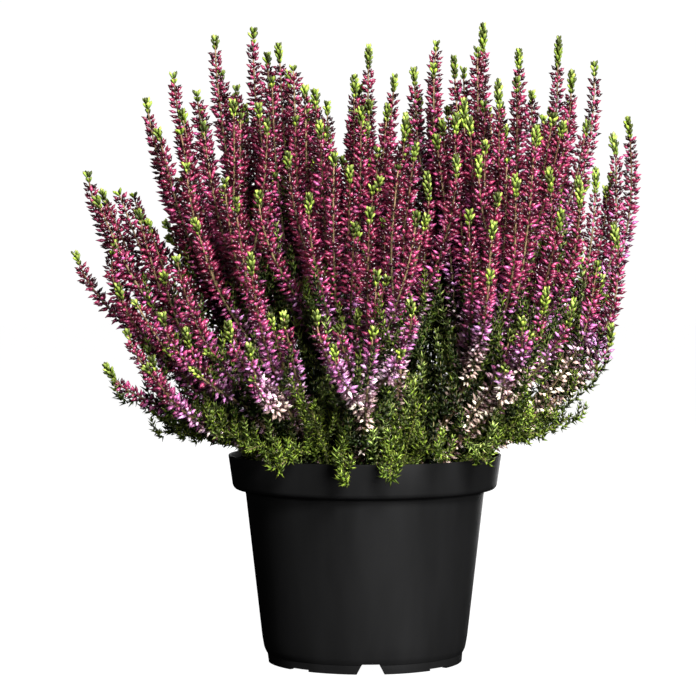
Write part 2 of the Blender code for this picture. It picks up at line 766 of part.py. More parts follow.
def main():
    clear_scene()
    home = collection("potted_heather")
    guides = collection("guides_cutters")
    pot_look = material("pot_plastic", (0.018, 0.018, 0.019), 0.48)
    soil_look = material("peat", (0.035, 0.022, 0.014), 0.95)
    stem_look = material("heather_stem", (0.23, 0.17, 0.10), 0.75)
    bud_look = material("heather_buds", (0.33, 0.03, 0.13), 0.55)
    leaf_look = material("heather_leaves", (0.17, 0.28, 0.05), 0.6)

    plant, branches = grow_plant()
    nodes = sorted({spike["node"] for spike in plant})
    by_node = [[spike for spike in plant if spike["node"] == node] for node in nodes]
    roots = [spikes[0]["points"][0][:2] for spikes in by_node]
    section = triangle_section(guides)
    for node, spikes in zip(nodes, by_node):
        if node < branches:
            name = f"flower_branch_{node + 1:02d}"
        else:
            name = f"leafy_shoot_{node - branches + 1:02d}"
        make_plant_node(name, spikes, (stem_look, bud_look, leaf_look), section, guides, home)
    make_pot(home, pot_look)
    make_soil(home, soil_look, roots)


main()
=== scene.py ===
"""Looks of the potted heather: fine buds, leaves, stems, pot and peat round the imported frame."""
import json
import math

import bmesh
import bpy
import numpy as np
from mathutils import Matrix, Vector

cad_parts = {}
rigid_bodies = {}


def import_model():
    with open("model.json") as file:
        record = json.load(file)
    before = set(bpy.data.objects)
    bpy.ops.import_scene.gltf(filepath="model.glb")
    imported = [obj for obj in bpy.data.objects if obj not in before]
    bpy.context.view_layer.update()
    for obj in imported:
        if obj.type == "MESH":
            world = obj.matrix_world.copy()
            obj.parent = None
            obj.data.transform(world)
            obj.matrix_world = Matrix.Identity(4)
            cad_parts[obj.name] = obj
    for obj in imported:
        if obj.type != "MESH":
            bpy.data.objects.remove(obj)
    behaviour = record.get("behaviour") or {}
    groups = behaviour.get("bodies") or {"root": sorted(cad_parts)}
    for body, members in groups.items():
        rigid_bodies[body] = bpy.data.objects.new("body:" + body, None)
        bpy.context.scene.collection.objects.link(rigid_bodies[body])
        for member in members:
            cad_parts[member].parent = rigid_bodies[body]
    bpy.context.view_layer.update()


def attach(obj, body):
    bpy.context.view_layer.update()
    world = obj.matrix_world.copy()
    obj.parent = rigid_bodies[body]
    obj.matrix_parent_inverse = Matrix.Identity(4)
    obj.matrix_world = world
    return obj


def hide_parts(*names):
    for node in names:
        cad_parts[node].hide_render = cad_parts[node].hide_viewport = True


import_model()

MM = 0.001

# Sizes and the plant's layout are the CAD's own, in millimetres
# Pot
RIM_RADIUS = 65.0
RIM_TOP = 98.5
RIM_BAND = 14.5
RIM_TAPER = 2.1
BODY_TOP_RADIUS = 56.7
BODY_LOW_RADIUS = 48.9
BODY_FOOT = 11.5
FOOT_RADIUS = 46.4
FOOT_WIDTH = 2.8
FLOOR_UNDERSIDE = 6.0
WALL = 1.2
NOTCH_ANGLE = 3.0
NOTCH_WIDTH = 16.0
NOTCH_TOP_WIDTH = 8.0
NOTCH_HEIGHT = 4.8
GAP_ANGLE = 48.0
GAP_WIDTH = 12.0
GAP_HEIGHT = 1.0
DRAIN_RADIUS = 4.0
DRAIN_CIRCLE = 30.0

# Soil
SOIL_TOP = 87.0
CLEARANCE = 0.3
HOLE_DEPTH = 10.5

# Plant
SEED = 11
VIEW_DISTANCE = 1260.0
VIEW_HEIGHT = 195.0
PLAN_HALF_WIDTH = 150.0
TIPS_PER_BRANCH = 3
BACK_ROWS = ((8.0, 80.0, 4), (32.0, 112.0, 6), (58.0, 126.0, 7), (82.0, 122.0, 7), (107.0, 92.0, 6))
ROOT_REACH = 41.0
ROOT_SPACING = 7.5
STEM_RADIUS = 1.25
BUD_REACH = 5.2
GREEN_REACH = 3.0
STEM_PITCH = 26.0
BUD_PITCH = 16.0
GREEN_PITCH = 8.5
LEAF_PITCH = 10.0
LEAF_REACH = 3.2
SKIRT_NODES = 10
SHOOT_TURN = math.radians(12.0)
SKIRT_ROOT_RADIUS = 53.0
SKIRT_SPREAD_LEFT = 24.0
SKIRT_SPREAD_RIGHT = 16.0

# Tips seen from the front: distance right of the pot's axis and height, as they measure at the axis
TIPS_TOP = (
    (-104, 267), (-91, 279), (-71, 296), (-53, 300), (-41, 293), (-36, 280), (-24, 271), (-5, 278),
    (2, 292), (14, 278), (34, 294), (42, 287), (47, 267), (56, 302), (63, 276), (73, 290), (92, 296),
    (98, 280), (109, 284), (125, 258), (118, 250),
)
TIPS_UPPER = (
    (-132, 232), (-127, 223), (-108, 214), (-85, 236), (-77, 256), (-63, 266), (-47, 257), (-33, 258),
    (-37, 241), (-2, 263), (-15, 241), (19, 260), (43, 260),
    (24, 246), (43, 240), (54, 240), (81, 254), (87, 234), (110, 234),
)
TIPS_MIDDLE = (
    (-138, 194), (-119, 201), (-90, 192), (-67, 229), (-51, 223), (-55, 194), (-27, 222), (2, 215),
    (24, 213), (29, 232), (49, 214), (63, 222), (71, 231), (101, 230), (93, 214), (115, 225), (118, 208),
)
TIPS_LOW = (
    (-118, 179), (-97, 165), (-66, 161), (-124, 141), (-102, 144), (-56, 150), (-24, 166), (5, 185),
    (21, 171), (59, 185), (86, 177), (113, 183), (-114, 157), (-86, 158), (99, 172), (74, 163), (-16, 150),
    (117, 160),
)

# Stems lean out straight on the left, and bow out low down and then rise on the right
BOW_SIDES = (-70, 50)
TIP_LEANS = (0.42, 0.04)
FIRST_RISES = (0.85, 0.42)
FIRST_HANDLES = (0.36, 0.46)

# How far in front of the axis a tip of a given height stands, and how high the back ones reach
FRONT_HEIGHTS = (140, 170, 215, 255, 285, 305)
FRONT_DEPTHS = (-102, -96, -77, -46, -6, 14)
BACK_DEPTHS = (20, 60, 90, 112)
BACK_HEIGHTS = (272, 246, 205, 158)

# How many times the layout is worked through
ROOT_ROUNDS = 200
SETTLE_ROUNDS = 260
TRIM_ROUNDS = 12

# Places on the colour ramps: each bud or leaf has a shade, a turn round itself and one of three tones. The
# dark and bright tones, picked at random, are random tone differences and also painted shade and painted
# highlight.
PALETTE_CELL = 0.012
PAINTED_LIGHT_TONE_SHARES = (0.35, 0.39, 0.26)
TONES = len(PAINTED_LIGHT_TONE_SHARES)
BRACT_SHADES = (0.80, 1.0)
STEM_SHADE_GREEN = 0.80
STEM_SHADE_TAN = 0.90
STEM_SHADES = (0.90, 1.0)
# Inner shoots: a near-black green that is painted shade inside the bush, and a withered brown
INNER_PAINTED_DARK_AND_WITHERED = (0.03, 0.95)
SKIRT_SHADE = 0.34

# Buds and leaves. A curve holds shares of the way up a spike, tip or shoot, then what is wanted there
FINE_STEP = 2.0
TIER_TURN = math.radians(45.0)
BUD_PITCH_FINE = 1.9
BUD_LENGTH = 4.6
BUD_WIDTH = 1.62
BUD_ANGLES = ((0.0, 0.5, 0.85, 1.0), (88.0, 76.0, 70.0, 60.0))
BUD_SIZES = ((0.0, 0.15, 0.8, 1.0), (0.86, 1.0, 1.0, 0.86))
BUD_WIDTHS = ((0.0, 1.0), (1.0, 1.2))
LEAST_BUD = 0.86
OLD_LOSS = 0.22
BRACT_SHARE = 0.45
BRACT_LENGTHS = (1.5, 2.4)
NECKS = (0.2, 1.8)
TIP_SHARES = (0.30, 0.78)
TIP_GROWTHS = ((-90.0, 20.0), (0.75, 1.22))
TIP_LEAF_PITCH = 1.8
TIP_LEAF_LENGTH = 3.4
TIP_LEAF_WIDTH = 1.6
TIP_LEAF_THICKNESS = 1.25
TIP_ANGLES = ((0.0, 0.35, 0.7, 1.0), (20.0, 30.0, 20.0, 3.0))
TIP_SIZES = ((0.0, 0.35, 0.7, 1.0), (0.68, 1.05, 1.0, 0.75))
SCALE_LEAF_LENGTH = 2.2
SCALE_LEAF_WIDTH = 1.1
SCALE_LEAF_THICKNESS = 0.7
SCALE_LEAF_ANGLES = ((0.0, 0.8, 1.0), (46.0, 36.0, 18.0))
SCALE_LEAF_SIZES = ((0.0, 0.8, 1.0), (1.0, 1.0, 0.7))

# Fading of old buds: below this height and over this depth, by distance right of the axis
FADE_TOP = 178.0
FADE_DEPTH = 62.0
FADES = ((-95.0, -50.0, 20.0, 60.0), (0.22, 0.72, 0.82, 0.95))

# Where buds and leaves begin on a spike
FRONT_BUDS_LOWER = 38.0
BACK_BUDS_LOWER = 8.0
LOWEST_BUDS = 12.0
SOIL_FOOT = 14.0
FORK_FOOT = 4.0

# Lesser spikes that fork off beside each spike
TALL_TIP = 255.0
TALL_TWINS = 3
LOW_TWINS = 2
TWIN_BUD_PITCH = 2.1
TWIN_LIMIT = 124.0
TWIN_FORKS = (2.0, 22.0)
TWIN_LOWEST = 4.0
TWIN_SHORTFALLS = (8.0, 40.0)
TWIN_SHORTEST = 34.0
TWIN_OFFSETS = (8.5, 13.0)
TWIN_BENDS = (0.28, 0.62)
TWIN_SPREADS = (0.0, 0.62, 0.95, 1.15)
TWIN_ROOM = 4.1
TWIN_TRIES = 7
TWIN_STARTS = (8.0, 18.0)
TWIN_TIPS = (2.5, 8.0)
CROWD_STEP = 5.0

# Short side shoots: spacing on the stem, how far they reach, and their leaves' spacing and size
FRONT_SHOOTS = {"every": 5.5, "reaches": (12.0, 26.0), "pitch": 2.6, "size": 1.55}
BACK_SHOOTS = {**FRONT_SHOOTS, "every": 4.2}
INNER_SHOOTS = {"every": 12.0, "reaches": (20.0, 38.0), "pitch": 3.2, "size": 1.9}
SPILL_SHOOTS = {"every": 1.0, "reaches": (5.0, 12.0), "pitch": 1.9, "size": 1.5}
SKIRT_SHOOTS = {"every": 2.3, "reaches": (6.0, 16.0), "pitch": 1.8, "size": 1.35}

# Fine pot and peat
POT_SIDES = 112
SOIL_SIDES = 128
SOIL_RINGS = 40
SOIL_WAVES = 26
SOIL_EASE = CLEARANCE + 0.25
CRUMBS = 600

# Studio, in metres and watts. Only the camera sees the floor's glow and the white world
FLOOR_RADIUS = 6.0
FLOOR_SIDES = 96
FLOOR_GLOW = 1.0
FLOOR_SHADE = 0.08
WORLD_LIGHT = 1.02
LIGHT_TARGET = (0.0, 0.0, 0.17)
LIGHTS = (
    ("key", (0.45, -1.30, 1.05), 0.45, 50.0),
    ("fill", (0.75, -1.18, 0.24), 0.7, 33.0),
    ("side", (-1.2, -0.55, 0.20), 0.5, 3.0),
    ("top", (0.0, 0.25, 1.5), 1.0, 2.5),
    ("back", (0.3, 1.40, 0.30), 0.9, 9.0),
)
CAMERA_PLACE = (-0.008, -1.26, 0.195)
CAMERA_LENS = 137.0
CAMERA_SENSOR = 36.0
CAMERA_TILT = math.radians(2.09)


def plan_ellipse(x):
    """Share of the full depth that the plant has at a distance x from the axis."""
    return math.sqrt(max(0.06, 1.0 - (x / PLAN_HALF_WIDTH) ** 2))


def seen_tip(x, height, rng):
    """Place a tip that is seen from the front at its own depth, along the line of sight."""
    depth = float(np.interp(height, FRONT_HEIGHTS, FRONT_DEPTHS)) * plan_ellipse(x)
    depth += rng.uniform(-9.0, 9.0) * (2.6 if height > 262 else 1.0)
    if x < -118:
        depth = min(depth, -50.0)
    if x > 108:
        depth = max(depth, 45.0) if height > 220 else depth + 40.0
    scale = (VIEW_DISTANCE + depth) / VIEW_DISTANCE
    return (x * scale, depth, VIEW_HEIGHT + (height - VIEW_HEIGHT) * scale)


def plant_tips():
    """Every flowering tip: those seen from the front, then those of the back half."""
    rng = np.random.default_rng(SEED)
    tips = [seen_tip(x, height, rng) for x, height in TIPS_TOP + TIPS_UPPER + TIPS_MIDDLE + TIPS_LOW]
    for back, half_width, count in BACK_ROWS:
        for number in range(count):
            across = 2.0 * (number + 0.5) / count - 1.0
            x = half_width * across + rng.uniform(-6.0, 6.0)
            depth = (back + rng.uniform(-5.0, 5.0)) * plan_ellipse(x) ** 0.7
            height = float(np.interp(back, BACK_DEPTHS, BACK_HEIGHTS)) + rng.uniform(-7.0, 7.0)
            tips.append((x, depth, height - 30.0 * abs(across) ** 3))
    return np.array(tips)


def group_tips(tips):
    """Bunch neighbouring tips on one branch each, from the outside of the plant inwards."""
    left = list(range(len(tips)))
    outward = np.hypot(tips[:, 0], tips[:, 1]) - 0.5 * tips[:, 2]
    groups = []
    while left:
        first = max(left, key=lambda tip: outward[tip])
        near = sorted(left, key=lambda tip: np.linalg.norm((tips[tip] - tips[first]) * (1.0, 1.0, 0.6)))
        group = near[:TIPS_PER_BRANCH]
        group.sort(key=lambda tip: -tips[tip][2])
        groups.append(group)
        left = [tip for tip in left if tip not in group]
    return groups


def spread_roots(roots):
    """Move the branch roots apart until each has its own place in the soil."""
    roots = roots.copy()
    for _ in range(ROOT_ROUNDS):
        gap = roots[:, None, :] - roots[None, :, :]
        reach = np.linalg.norm(gap, axis=2) + np.eye(len(roots)) * 1e3
        push = np.clip(ROOT_SPACING - reach, 0.0, None) / reach
        roots += 0.4 * (gap * push[:, :, None]).sum(axis=1)
        out = np.linalg.norm(roots, axis=1)
        roots *= np.minimum(1.0, ROOT_REACH / out)[:, None]
    return roots


def unit(vector):
    """The vector's direction."""
    return vector / np.linalg.norm(vector)


def bend_points(start, start_way, tip, tip_way, fractions, first_handle=0.36):
    """Points of a smooth bend between two ends, at fractions of its length."""
    reach = np.linalg.norm(tip - start)
    handles = (start, start + first_handle * reach * start_way, tip - 0.38 * reach * tip_way, tip)
    fine = np.linspace(0.0, 1.0, 80)[:, None]
    weights = ((1 - fine) ** 3, 3 * fine * (1 - fine) ** 2, 3 * fine ** 2 * (1 - fine), fine ** 3)
    curve = sum(weight * handle for weight, handle in zip(weights, handles))
    along = np.concatenate(([0.0], np.cumsum(np.linalg.norm(np.diff(curve, axis=0), axis=1))))
    wanted = np.asarray(fractions) * along[-1]
    return np.stack([np.interp(wanted, along, curve[:, axis]) for axis in range(3)], axis=1)


def zone_fractions(length, green, buds):
    """Ring places along a spike as fractions, and which zone each stretch between them is in."""
    stem = length - green - buds
    counts = (max(2, round(stem / STEM_PITCH)), max(2, round(buds / BUD_PITCH)),
              max(1, round(green / GREEN_PITCH)))
    places = [0.0]
    zones = []
    for zone, size, count in zip(("stem", "buds", "green"), (stem, buds, green), counts):
        for _ in range(count):
            places.append(places[-1] + size / count / length)
            zones.append(zone)
    return np.array(places), zones


def grow_spike(start, start_way, tip, rng, from_soil):
    """One flowering spike: its bend, and how far it reaches from its stem at each point."""
    rise = tip - start
    outward = np.array((rise[0], rise[1], 0.0))
    lean = np.interp(tip[0], BOW_SIDES, TIP_LEANS)
    tip_way = unit(outward * lean + np.array((rng.normal(0, 5), rng.normal(0, 5), 1.15 * rise[2] + 20.0)))
    length = 1.06 * np.linalg.norm(rise)
    above_soil = 1.06 * np.linalg.norm(tip - np.array((0.3 * tip[0], 0.3 * tip[1], SOIL_TOP)))
    green = rng.uniform(11.0, 18.0)
    buds = min(0.56 * above_soil, 100.0, length - green - 14.0)
    fractions, zones = zone_fractions(length, green, buds)
    handle = np.interp(tip[0], BOW_SIDES, FIRST_HANDLES)
    points = bend_points(start, start_way, tip, tip_way, fractions, handle)
    reach = []
    for place in range(len(points)):
        before = zones[max(0, place - 1)]
        after = zones[min(place, len(zones) - 1)]
        if "buds" in (before, after):
            reach.append(4.2 if before == "stem" else (3.4 if after == "green" else BUD_REACH))
        else:
            reach.append(GREEN_REACH if after == "green" else STEM_RADIUS)
    reach[-1] = 0.7
    if from_soil:
        foot = np.array((start[0], start[1], SOIL_TOP - HOLE_DEPTH + CLEARANCE))
        points = np.vstack((foot, points))
        reach.insert(0, STEM_RADIUS)
        zones.insert(0, "stem")
    return {"points": points, "reach": np.array(reach), "zones": zones}


def grow_branches():
    """All flowering branches: a main spike from the soil, and side spikes that fork from it."""
    rng = np.random.default_rng(SEED + 1)
    tips = plant_tips()
    groups = group_tips(tips)
    means = np.array([tips[group].mean(axis=0) for group in groups])
    lowness = np.clip((300.0 - means[:, 2]) / 150.0, 0.0, 1.0)
    roots = spread_roots(means[:, :2] * (0.27 + 0.10 * lowness)[:, None])
    spikes = []
    for branch, (group, root) in enumerate(zip(groups, roots)):
        start = np.array((root[0], root[1], SOIL_TOP + 1.5))
        rise = tips[group[0]] - start
        first_rise = np.interp(tips[group[0]][0], BOW_SIDES, FIRST_RISES)
        main = grow_spike(start, unit(rise * (1.15, 1.15, first_rise)), tips[group[0]], rng, True)
        main.update(node=branch, parent=None)
        main_index = len(spikes)
        spikes.append(main)
        for tip in group[1:]:
            fork_height = SOIL_TOP + 10.0 + 0.24 * (min(tips[tip][2], tips[group[0]][2]) - SOIL_TOP)
            fork = int(np.argmin(abs(main["points"][:, 2] - fork_height)))
            fork = max(2, fork)
            fork_point = main["points"][fork]
            main_way = unit(main["points"][fork + 1] - main["points"][fork - 1])
            way = unit(main_way + 0.9 * unit(tips[tip] - fork_point))
            side = grow_spike(fork_point, way, tips[tip], rng, False)
            side.update(node=branch, parent=(main_index, fork))
            spikes.append(side)
    return spikes, len(groups)


def grow_skirt(first_node, first_index):
    """Low leafy shoots, three from each foot: two lean out over the rim and one rises outwards."""
    rng = np.random.default_rng(SEED + 2)
    up = np.array((0.0, 0.0, 1.0))
    shoots = []
    for number in range(SKIRT_NODES):
        middle_turn = 2.0 * math.pi * (number + 0.5) / SKIRT_NODES
        foot_out = np.array((math.sin(middle_turn), -math.cos(middle_turn), 0.0))
        start = SKIRT_ROOT_RADIUS * foot_out + (SOIL_TOP + 1.5) * up
        for side in (-1, 0, 1):
            turn = middle_turn + side * SHOOT_TURN + rng.uniform(-0.05, 0.05)
            sideways = abs(math.sin(turn))
            out = np.array((math.sin(turn), -math.cos(turn), 0.0))
            hangs = side != 0
            spread = SKIRT_SPREAD_RIGHT if turn < math.pi else SKIRT_SPREAD_LEFT
            radius = 75.0 + spread * sideways ** 2 + rng.uniform(-3.0, 3.0)
            height = 90.0 + 25.0 * sideways ** 1.5 + rng.uniform(-4.0, 4.0)
            way = out * (0.25 + sideways) + up * (sideways - 0.85)
            if not hangs:
                radius += 6.0
                height = 122.0 + rng.uniform(-5.0, 8.0)
                way = 0.6 * out + up
            end = radius * out + height * up
            count = round(1.15 * np.linalg.norm(end - start) / LEAF_PITCH)
            start_way = unit((0.45 if hangs else 0.8) * out + up)
            points = bend_points(start, start_way, end, unit(way), np.linspace(0.0, 1.0, count + 1))
            reach = np.full(count + 1, LEAF_REACH)
            reach[0] = STEM_RADIUS
            reach[-1] = 0.8
            zones = ["stem"] + ["leaves"] * (count - 1)
            parent = (first_index + 3 * number, 1)
            if side == -1:
                points = np.vstack((start - (1.5 + HOLE_DEPTH - CLEARANCE) * up, points))
                reach = np.insert(reach, 0, STEM_RADIUS)
                zones = ["stem"] + zones
                parent = None
            shoots.append({"points": points, "reach": reach, "zones": zones,
                           "node": first_node + number, "parent": parent})
    return shoots


def closest_on_segments(start_a, way_a, start_b, way_b):
    """Where along each of two rows of segments their closest points lie, from 0 to 1."""
    between = start_a - start_b
    aa = (way_a * way_a).sum(1)
    bb = (way_b * way_b).sum(1)
    ab = (way_a * way_b).sum(1)
    ad = (way_a * between).sum(1)
    bd = (way_b * between).sum(1)
    flat = np.maximum(aa * bb - ab * ab, 1e-9)
    on_a = np.clip((ab * bd - ad * bb) / flat, 0.0, 1.0)
    on_b = np.clip((ab * on_a + bd) / bb, 0.0, 1.0)
    on_a = np.clip((ab * on_b - ad) / aa, 0.0, 1.0)
    return on_a, on_b


def off_the_pot(points, reach):
    """How far to move each point to clear the rim and the wall below it by its own reach."""
    radius = np.maximum(np.hypot(points[:, 0], points[:, 1]), 1e-6)
    across = radius - np.clip(radius, RIM_RADIUS - 3.4, RIM_RADIUS + 0.2)
    rise = points[:, 2] - np.minimum(points[:, 2], RIM_TOP + 0.2)
    span = np.hypot(across, rise)
    inside = span < 1e-3
    rise = np.where(inside, 1.0, rise)
    depth = np.where(inside, RIM_TOP + 0.2 - points[:, 2], 0.0)
    lift = np.clip(reach + 0.7 - span, 0.0, None) + depth
    lift[(points[:, 2] < SOIL_TOP + 1.6) & (radius < RIM_RADIUS - 5.0)] = 0.0
    scale = lift / np.maximum(np.hypot(across, rise), 1e-6)
    outward = points[:, :2] / radius[:, None]
    return np.column_stack((outward * (across * scale)[:, None], rise * scale))


class Bush:
    """All spikes and shoots as one set of points, so that they can be bent clear of each other."""

    def __init__(self, spikes):
        self.spikes = spikes
        sizes = [len(spike["points"]) for spike in spikes]
        self.first = np.concatenate(([0], np.cumsum(sizes)))
        self.points = np.vstack([spike["points"] for spike in spikes])
        self.home = self.points.copy()
        self.reach = np.concatenate([spike["reach"] for spike in spikes])
        self.fixed = np.zeros(len(self.points), bool)
        self.inner = np.zeros(len(self.points), bool)
        self.follows = []
        segments, nodes, steps = [], [], []
        for index, spike in enumerate(spikes):
            low, high = self.first[index], self.first[index + 1]
            self.inner[low + 1:high - 1] = True
            if spike["parent"] is None:
                self.fixed[low:low + 2] = True
            else:
                parent, fork = spike["parent"]
                self.follows.append((low, self.first[parent] + fork))
            segments.extend(range(low, high - 1))
            nodes.extend([spike["node"]] * (high - 1 - low))
            steps.extend(range(high - 1 - low))
        self.segments = np.array(segments)
        self.nodes = np.array(nodes)
        self.steps = np.array(steps)
        inner = np.flatnonzero(self.inner)
        self.inner_rows = inner
        self.bow = self.home[inner] - 0.5 * (self.home[inner - 1] + self.home[inner + 1])

    def near_pairs(self, margin):
        """Pairs of segments of different branches, or far from their fork, that might meet."""
        low = self.points[self.segments]
        high = self.points[self.segments + 1]
        middle = 0.5 * (low + high)
        half = 0.5 * np.linalg.norm(high - low, axis=1)
        size = half + np.maximum(self.reach[self.segments], self.reach[self.segments + 1])
        one, two = np.triu_indices(len(middle), 1)
        span = np.linalg.norm(middle[one] - middle[two], axis=1)
        apart = self.nodes[one] != self.nodes[two]
        grown = np.minimum(self.steps[one], self.steps[two]) >= 5
        near = (span < size[one] + size[two] + margin) & (apart | grown)
        near &= ~((self.nodes[one] == self.nodes[two]) & (abs(one - two) < 6))
        return one[near], two[near]

    def gaps(self, one, two):
        """Room left between each pair, with where the closest points lie and which way to part."""
        first_a, first_b = self.segments[one], self.segments[two]
        way_a = self.points[first_a + 1] - self.points[first_a]
        way_b = self.points[first_b + 1] - self.points[first_b]
        on_a, on_b = closest_on_segments(self.points[first_a], way_a, self.points[first_b], way_b)
        part = (self.points[first_a] + way_a * on_a[:, None]) - (self.points[first_b] + way_b * on_b[:, None])
        span = np.linalg.norm(part, axis=1)
        reach_a = self.reach[first_a] * (1 - on_a) + self.reach[first_a + 1] * on_a
        reach_b = self.reach[first_b] * (1 - on_b) + self.reach[first_b + 1] * on_b
        crossing = np.cross(way_a, way_b)
        crossing /= np.maximum(np.linalg.norm(crossing, axis=1), 1e-6)[:, None]
        part = np.where((span < 0.2)[:, None], crossing, part / np.maximum(span, 1e-6)[:, None])
        return span - reach_a - reach_b, on_a, on_b, part

    def part_branches(self, one, two, wanted, share):
        """Move each pair that is closer than wanted some way apart."""
        room, on_a, on_b, part = self.gaps(one, two)
        close = room < wanted
        if not close.any():
            return
        first_a, first_b = self.segments[one[close]], self.segments[two[close]]
        on_a, on_b = on_a[close], on_b[close]
        shove = (share * (wanted - room[close]))[:, None] * part[close] * (1.0, 1.0, 0.45)
        total = np.zeros_like(self.points)
        count = np.zeros(len(self.points))
        for rows, weight, sign in ((first_a, 1 - on_a, 1), (first_a + 1, on_a, 1),
                                   (first_b, 1 - on_b, -1), (first_b + 1, on_b, -1)):
            np.add.at(total, rows, sign * weight[:, None] * shove)
            np.add.at(count, rows, weight)
        total /= np.maximum(count, 1.0)[:, None] ** 0.6
        self.points[~self.fixed] += total[~self.fixed]

    def clear_pot(self):
        """Lift stems over the rim, push them off the wall, and keep them above the soil."""
        low, high = self.segments, self.segments + 1
        for share in (0.0, 0.33, 0.67):
            middle = (1.0 - share) * self.points[low] + share * self.points[high]
            reach = np.maximum(self.reach[low], self.reach[high])
            shove = off_the_pot(middle, reach)
            total = np.zeros_like(self.points)
            np.add.at(total, low, (1.0 - share) * shove)
            np.add.at(total, high, share * shove)
            self.points[~self.fixed] += total[~self.fixed]
        over_soil = np.hypot(self.points[:, 0], self.points[:, 1]) < RIM_RADIUS - 3.0
        low = over_soil & ~self.fixed
        self.points[low, 2] = np.maximum(self.points[low, 2], SOIL_TOP + 0.6 + self.reach[low])

    def settle(self, rounds):
        """Bend everything clear, keeping each stem's own bow and each tip near its place."""
        ends = self.first[1:] - 1
        for step in range(rounds):
            if step % 8 == 0:
                one, two = self.near_pairs(7.0)
            late = step / rounds
            self.part_branches(one, two, 0.75, 0.45)
            rows = self.inner_rows
            smooth = 0.5 * (self.points[rows - 1] + self.points[rows + 1]) + self.bow - self.points[rows]
            smooth[self.fixed[rows]] = 0.0
            self.points[rows] += (0.32 * (1.0 - late) + 0.04) * smooth
            self.points[ends] += 0.06 * (1.0 - late) * (self.home[ends] - self.points[ends]) * (1.0, 0.3, 1.0)
            self.clear_pot()
            for row, fork in self.follows:
                self.points[row] = self.points[fork]

    def trim_reach(self):
        """Where two spikes stay too close, their buds there are shorter."""
        one, two = self.near_pairs(2.0)
        for _ in range(TRIM_ROUNDS):
            room, on_a, on_b, _ = self.gaps(one, two)
            close = room < 1.15 * CLEARANCE
            if not close.any():
                break
            for rows in (self.segments[one[close]], self.segments[two[close]]):
                for end in (rows, rows + 1):
                    self.reach[end] = np.maximum(np.minimum(self.reach[end], 1.4), self.reach[end] * 0.93)

    def spread(self):
        """The spikes and shoots with their settled points and reaches."""
        for index, spike in enumerate(self.spikes):
            low, high = self.first[index], self.first[index + 1]
            spike["points"] = self.points[low:high].copy()
            spike["reach"] = self.reach[low:high].copy()
        return self.spikes


def grow_plant():
    """Every spike and shoot, bent clear of the others, the pot and the soil."""
    spikes, branches = grow_branches()
    shoots = grow_skirt(branches, len(spikes))
    bush = Bush(spikes + shoots)
    bush.settle(SETTLE_ROUNDS)
    bush.trim_reach()
    return bush.spread(), branches


def band_faces(rings, sides):
    """Triangles between rings of vertices that follow one another."""
    faces = []
    for low in range(0, (rings - 1) * sides, sides):
        for side in range(sides):
            near, far = low + side, low + (side + 1) % sides
            faces.append((near, far, far + sides))
            faces.append((near, far + sides, near + sides))
    return faces


def spindle(sides, rings, foot):
    """A closed pointed shape of unit length along Z and unit width, from rings of (height, radius)."""
    verts, around = [], []
    for height, radius in rings:
        for side in range(sides):
            angle = 2.0 * math.pi * side / sides
            verts.append((radius * math.cos(angle), radius * math.sin(angle), height))
            around.append(abs(2.0 * side / sides - 1.0))
    faces = band_faces(len(rings), sides)
    last = (len(rings) - 1) * sides
    verts.append((0.0, 0.0, 1.0))
    around.append(0.5)
    faces.extend((last + side, last + (side + 1) % sides, len(verts) - 1) for side in range(sides))
    if foot:
        verts.append((0.0, 0.0, 0.0))
        around.append(0.5)
        faces.extend(((side + 1) % sides, side, len(verts) - 1) for side in range(sides))
    else:
        faces.extend((0, side + 1, side) for side in range(1, sides - 1))
    return np.array(verts), np.array(faces), np.array(around)


BUD = spindle(5, ((0.04, 0.24), (0.45, 0.52)), False)
PLAIN_BUD = spindle(4, ((0.46, 0.58),), True)
TIP_LEAF = spindle(4, ((0.0, 0.32), (0.72, 0.54)), False)
SCALE_LEAF = spindle(3, ((0.42, 0.50),), True)
SHADE_LEAF = spindle(3, ((0.0, 0.50),), False)


def settle_piece(made, nodes):
    """Let a fine piece ride on the one body and stand for its CAD nodes."""
    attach(made, "root")
    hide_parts(*nodes)


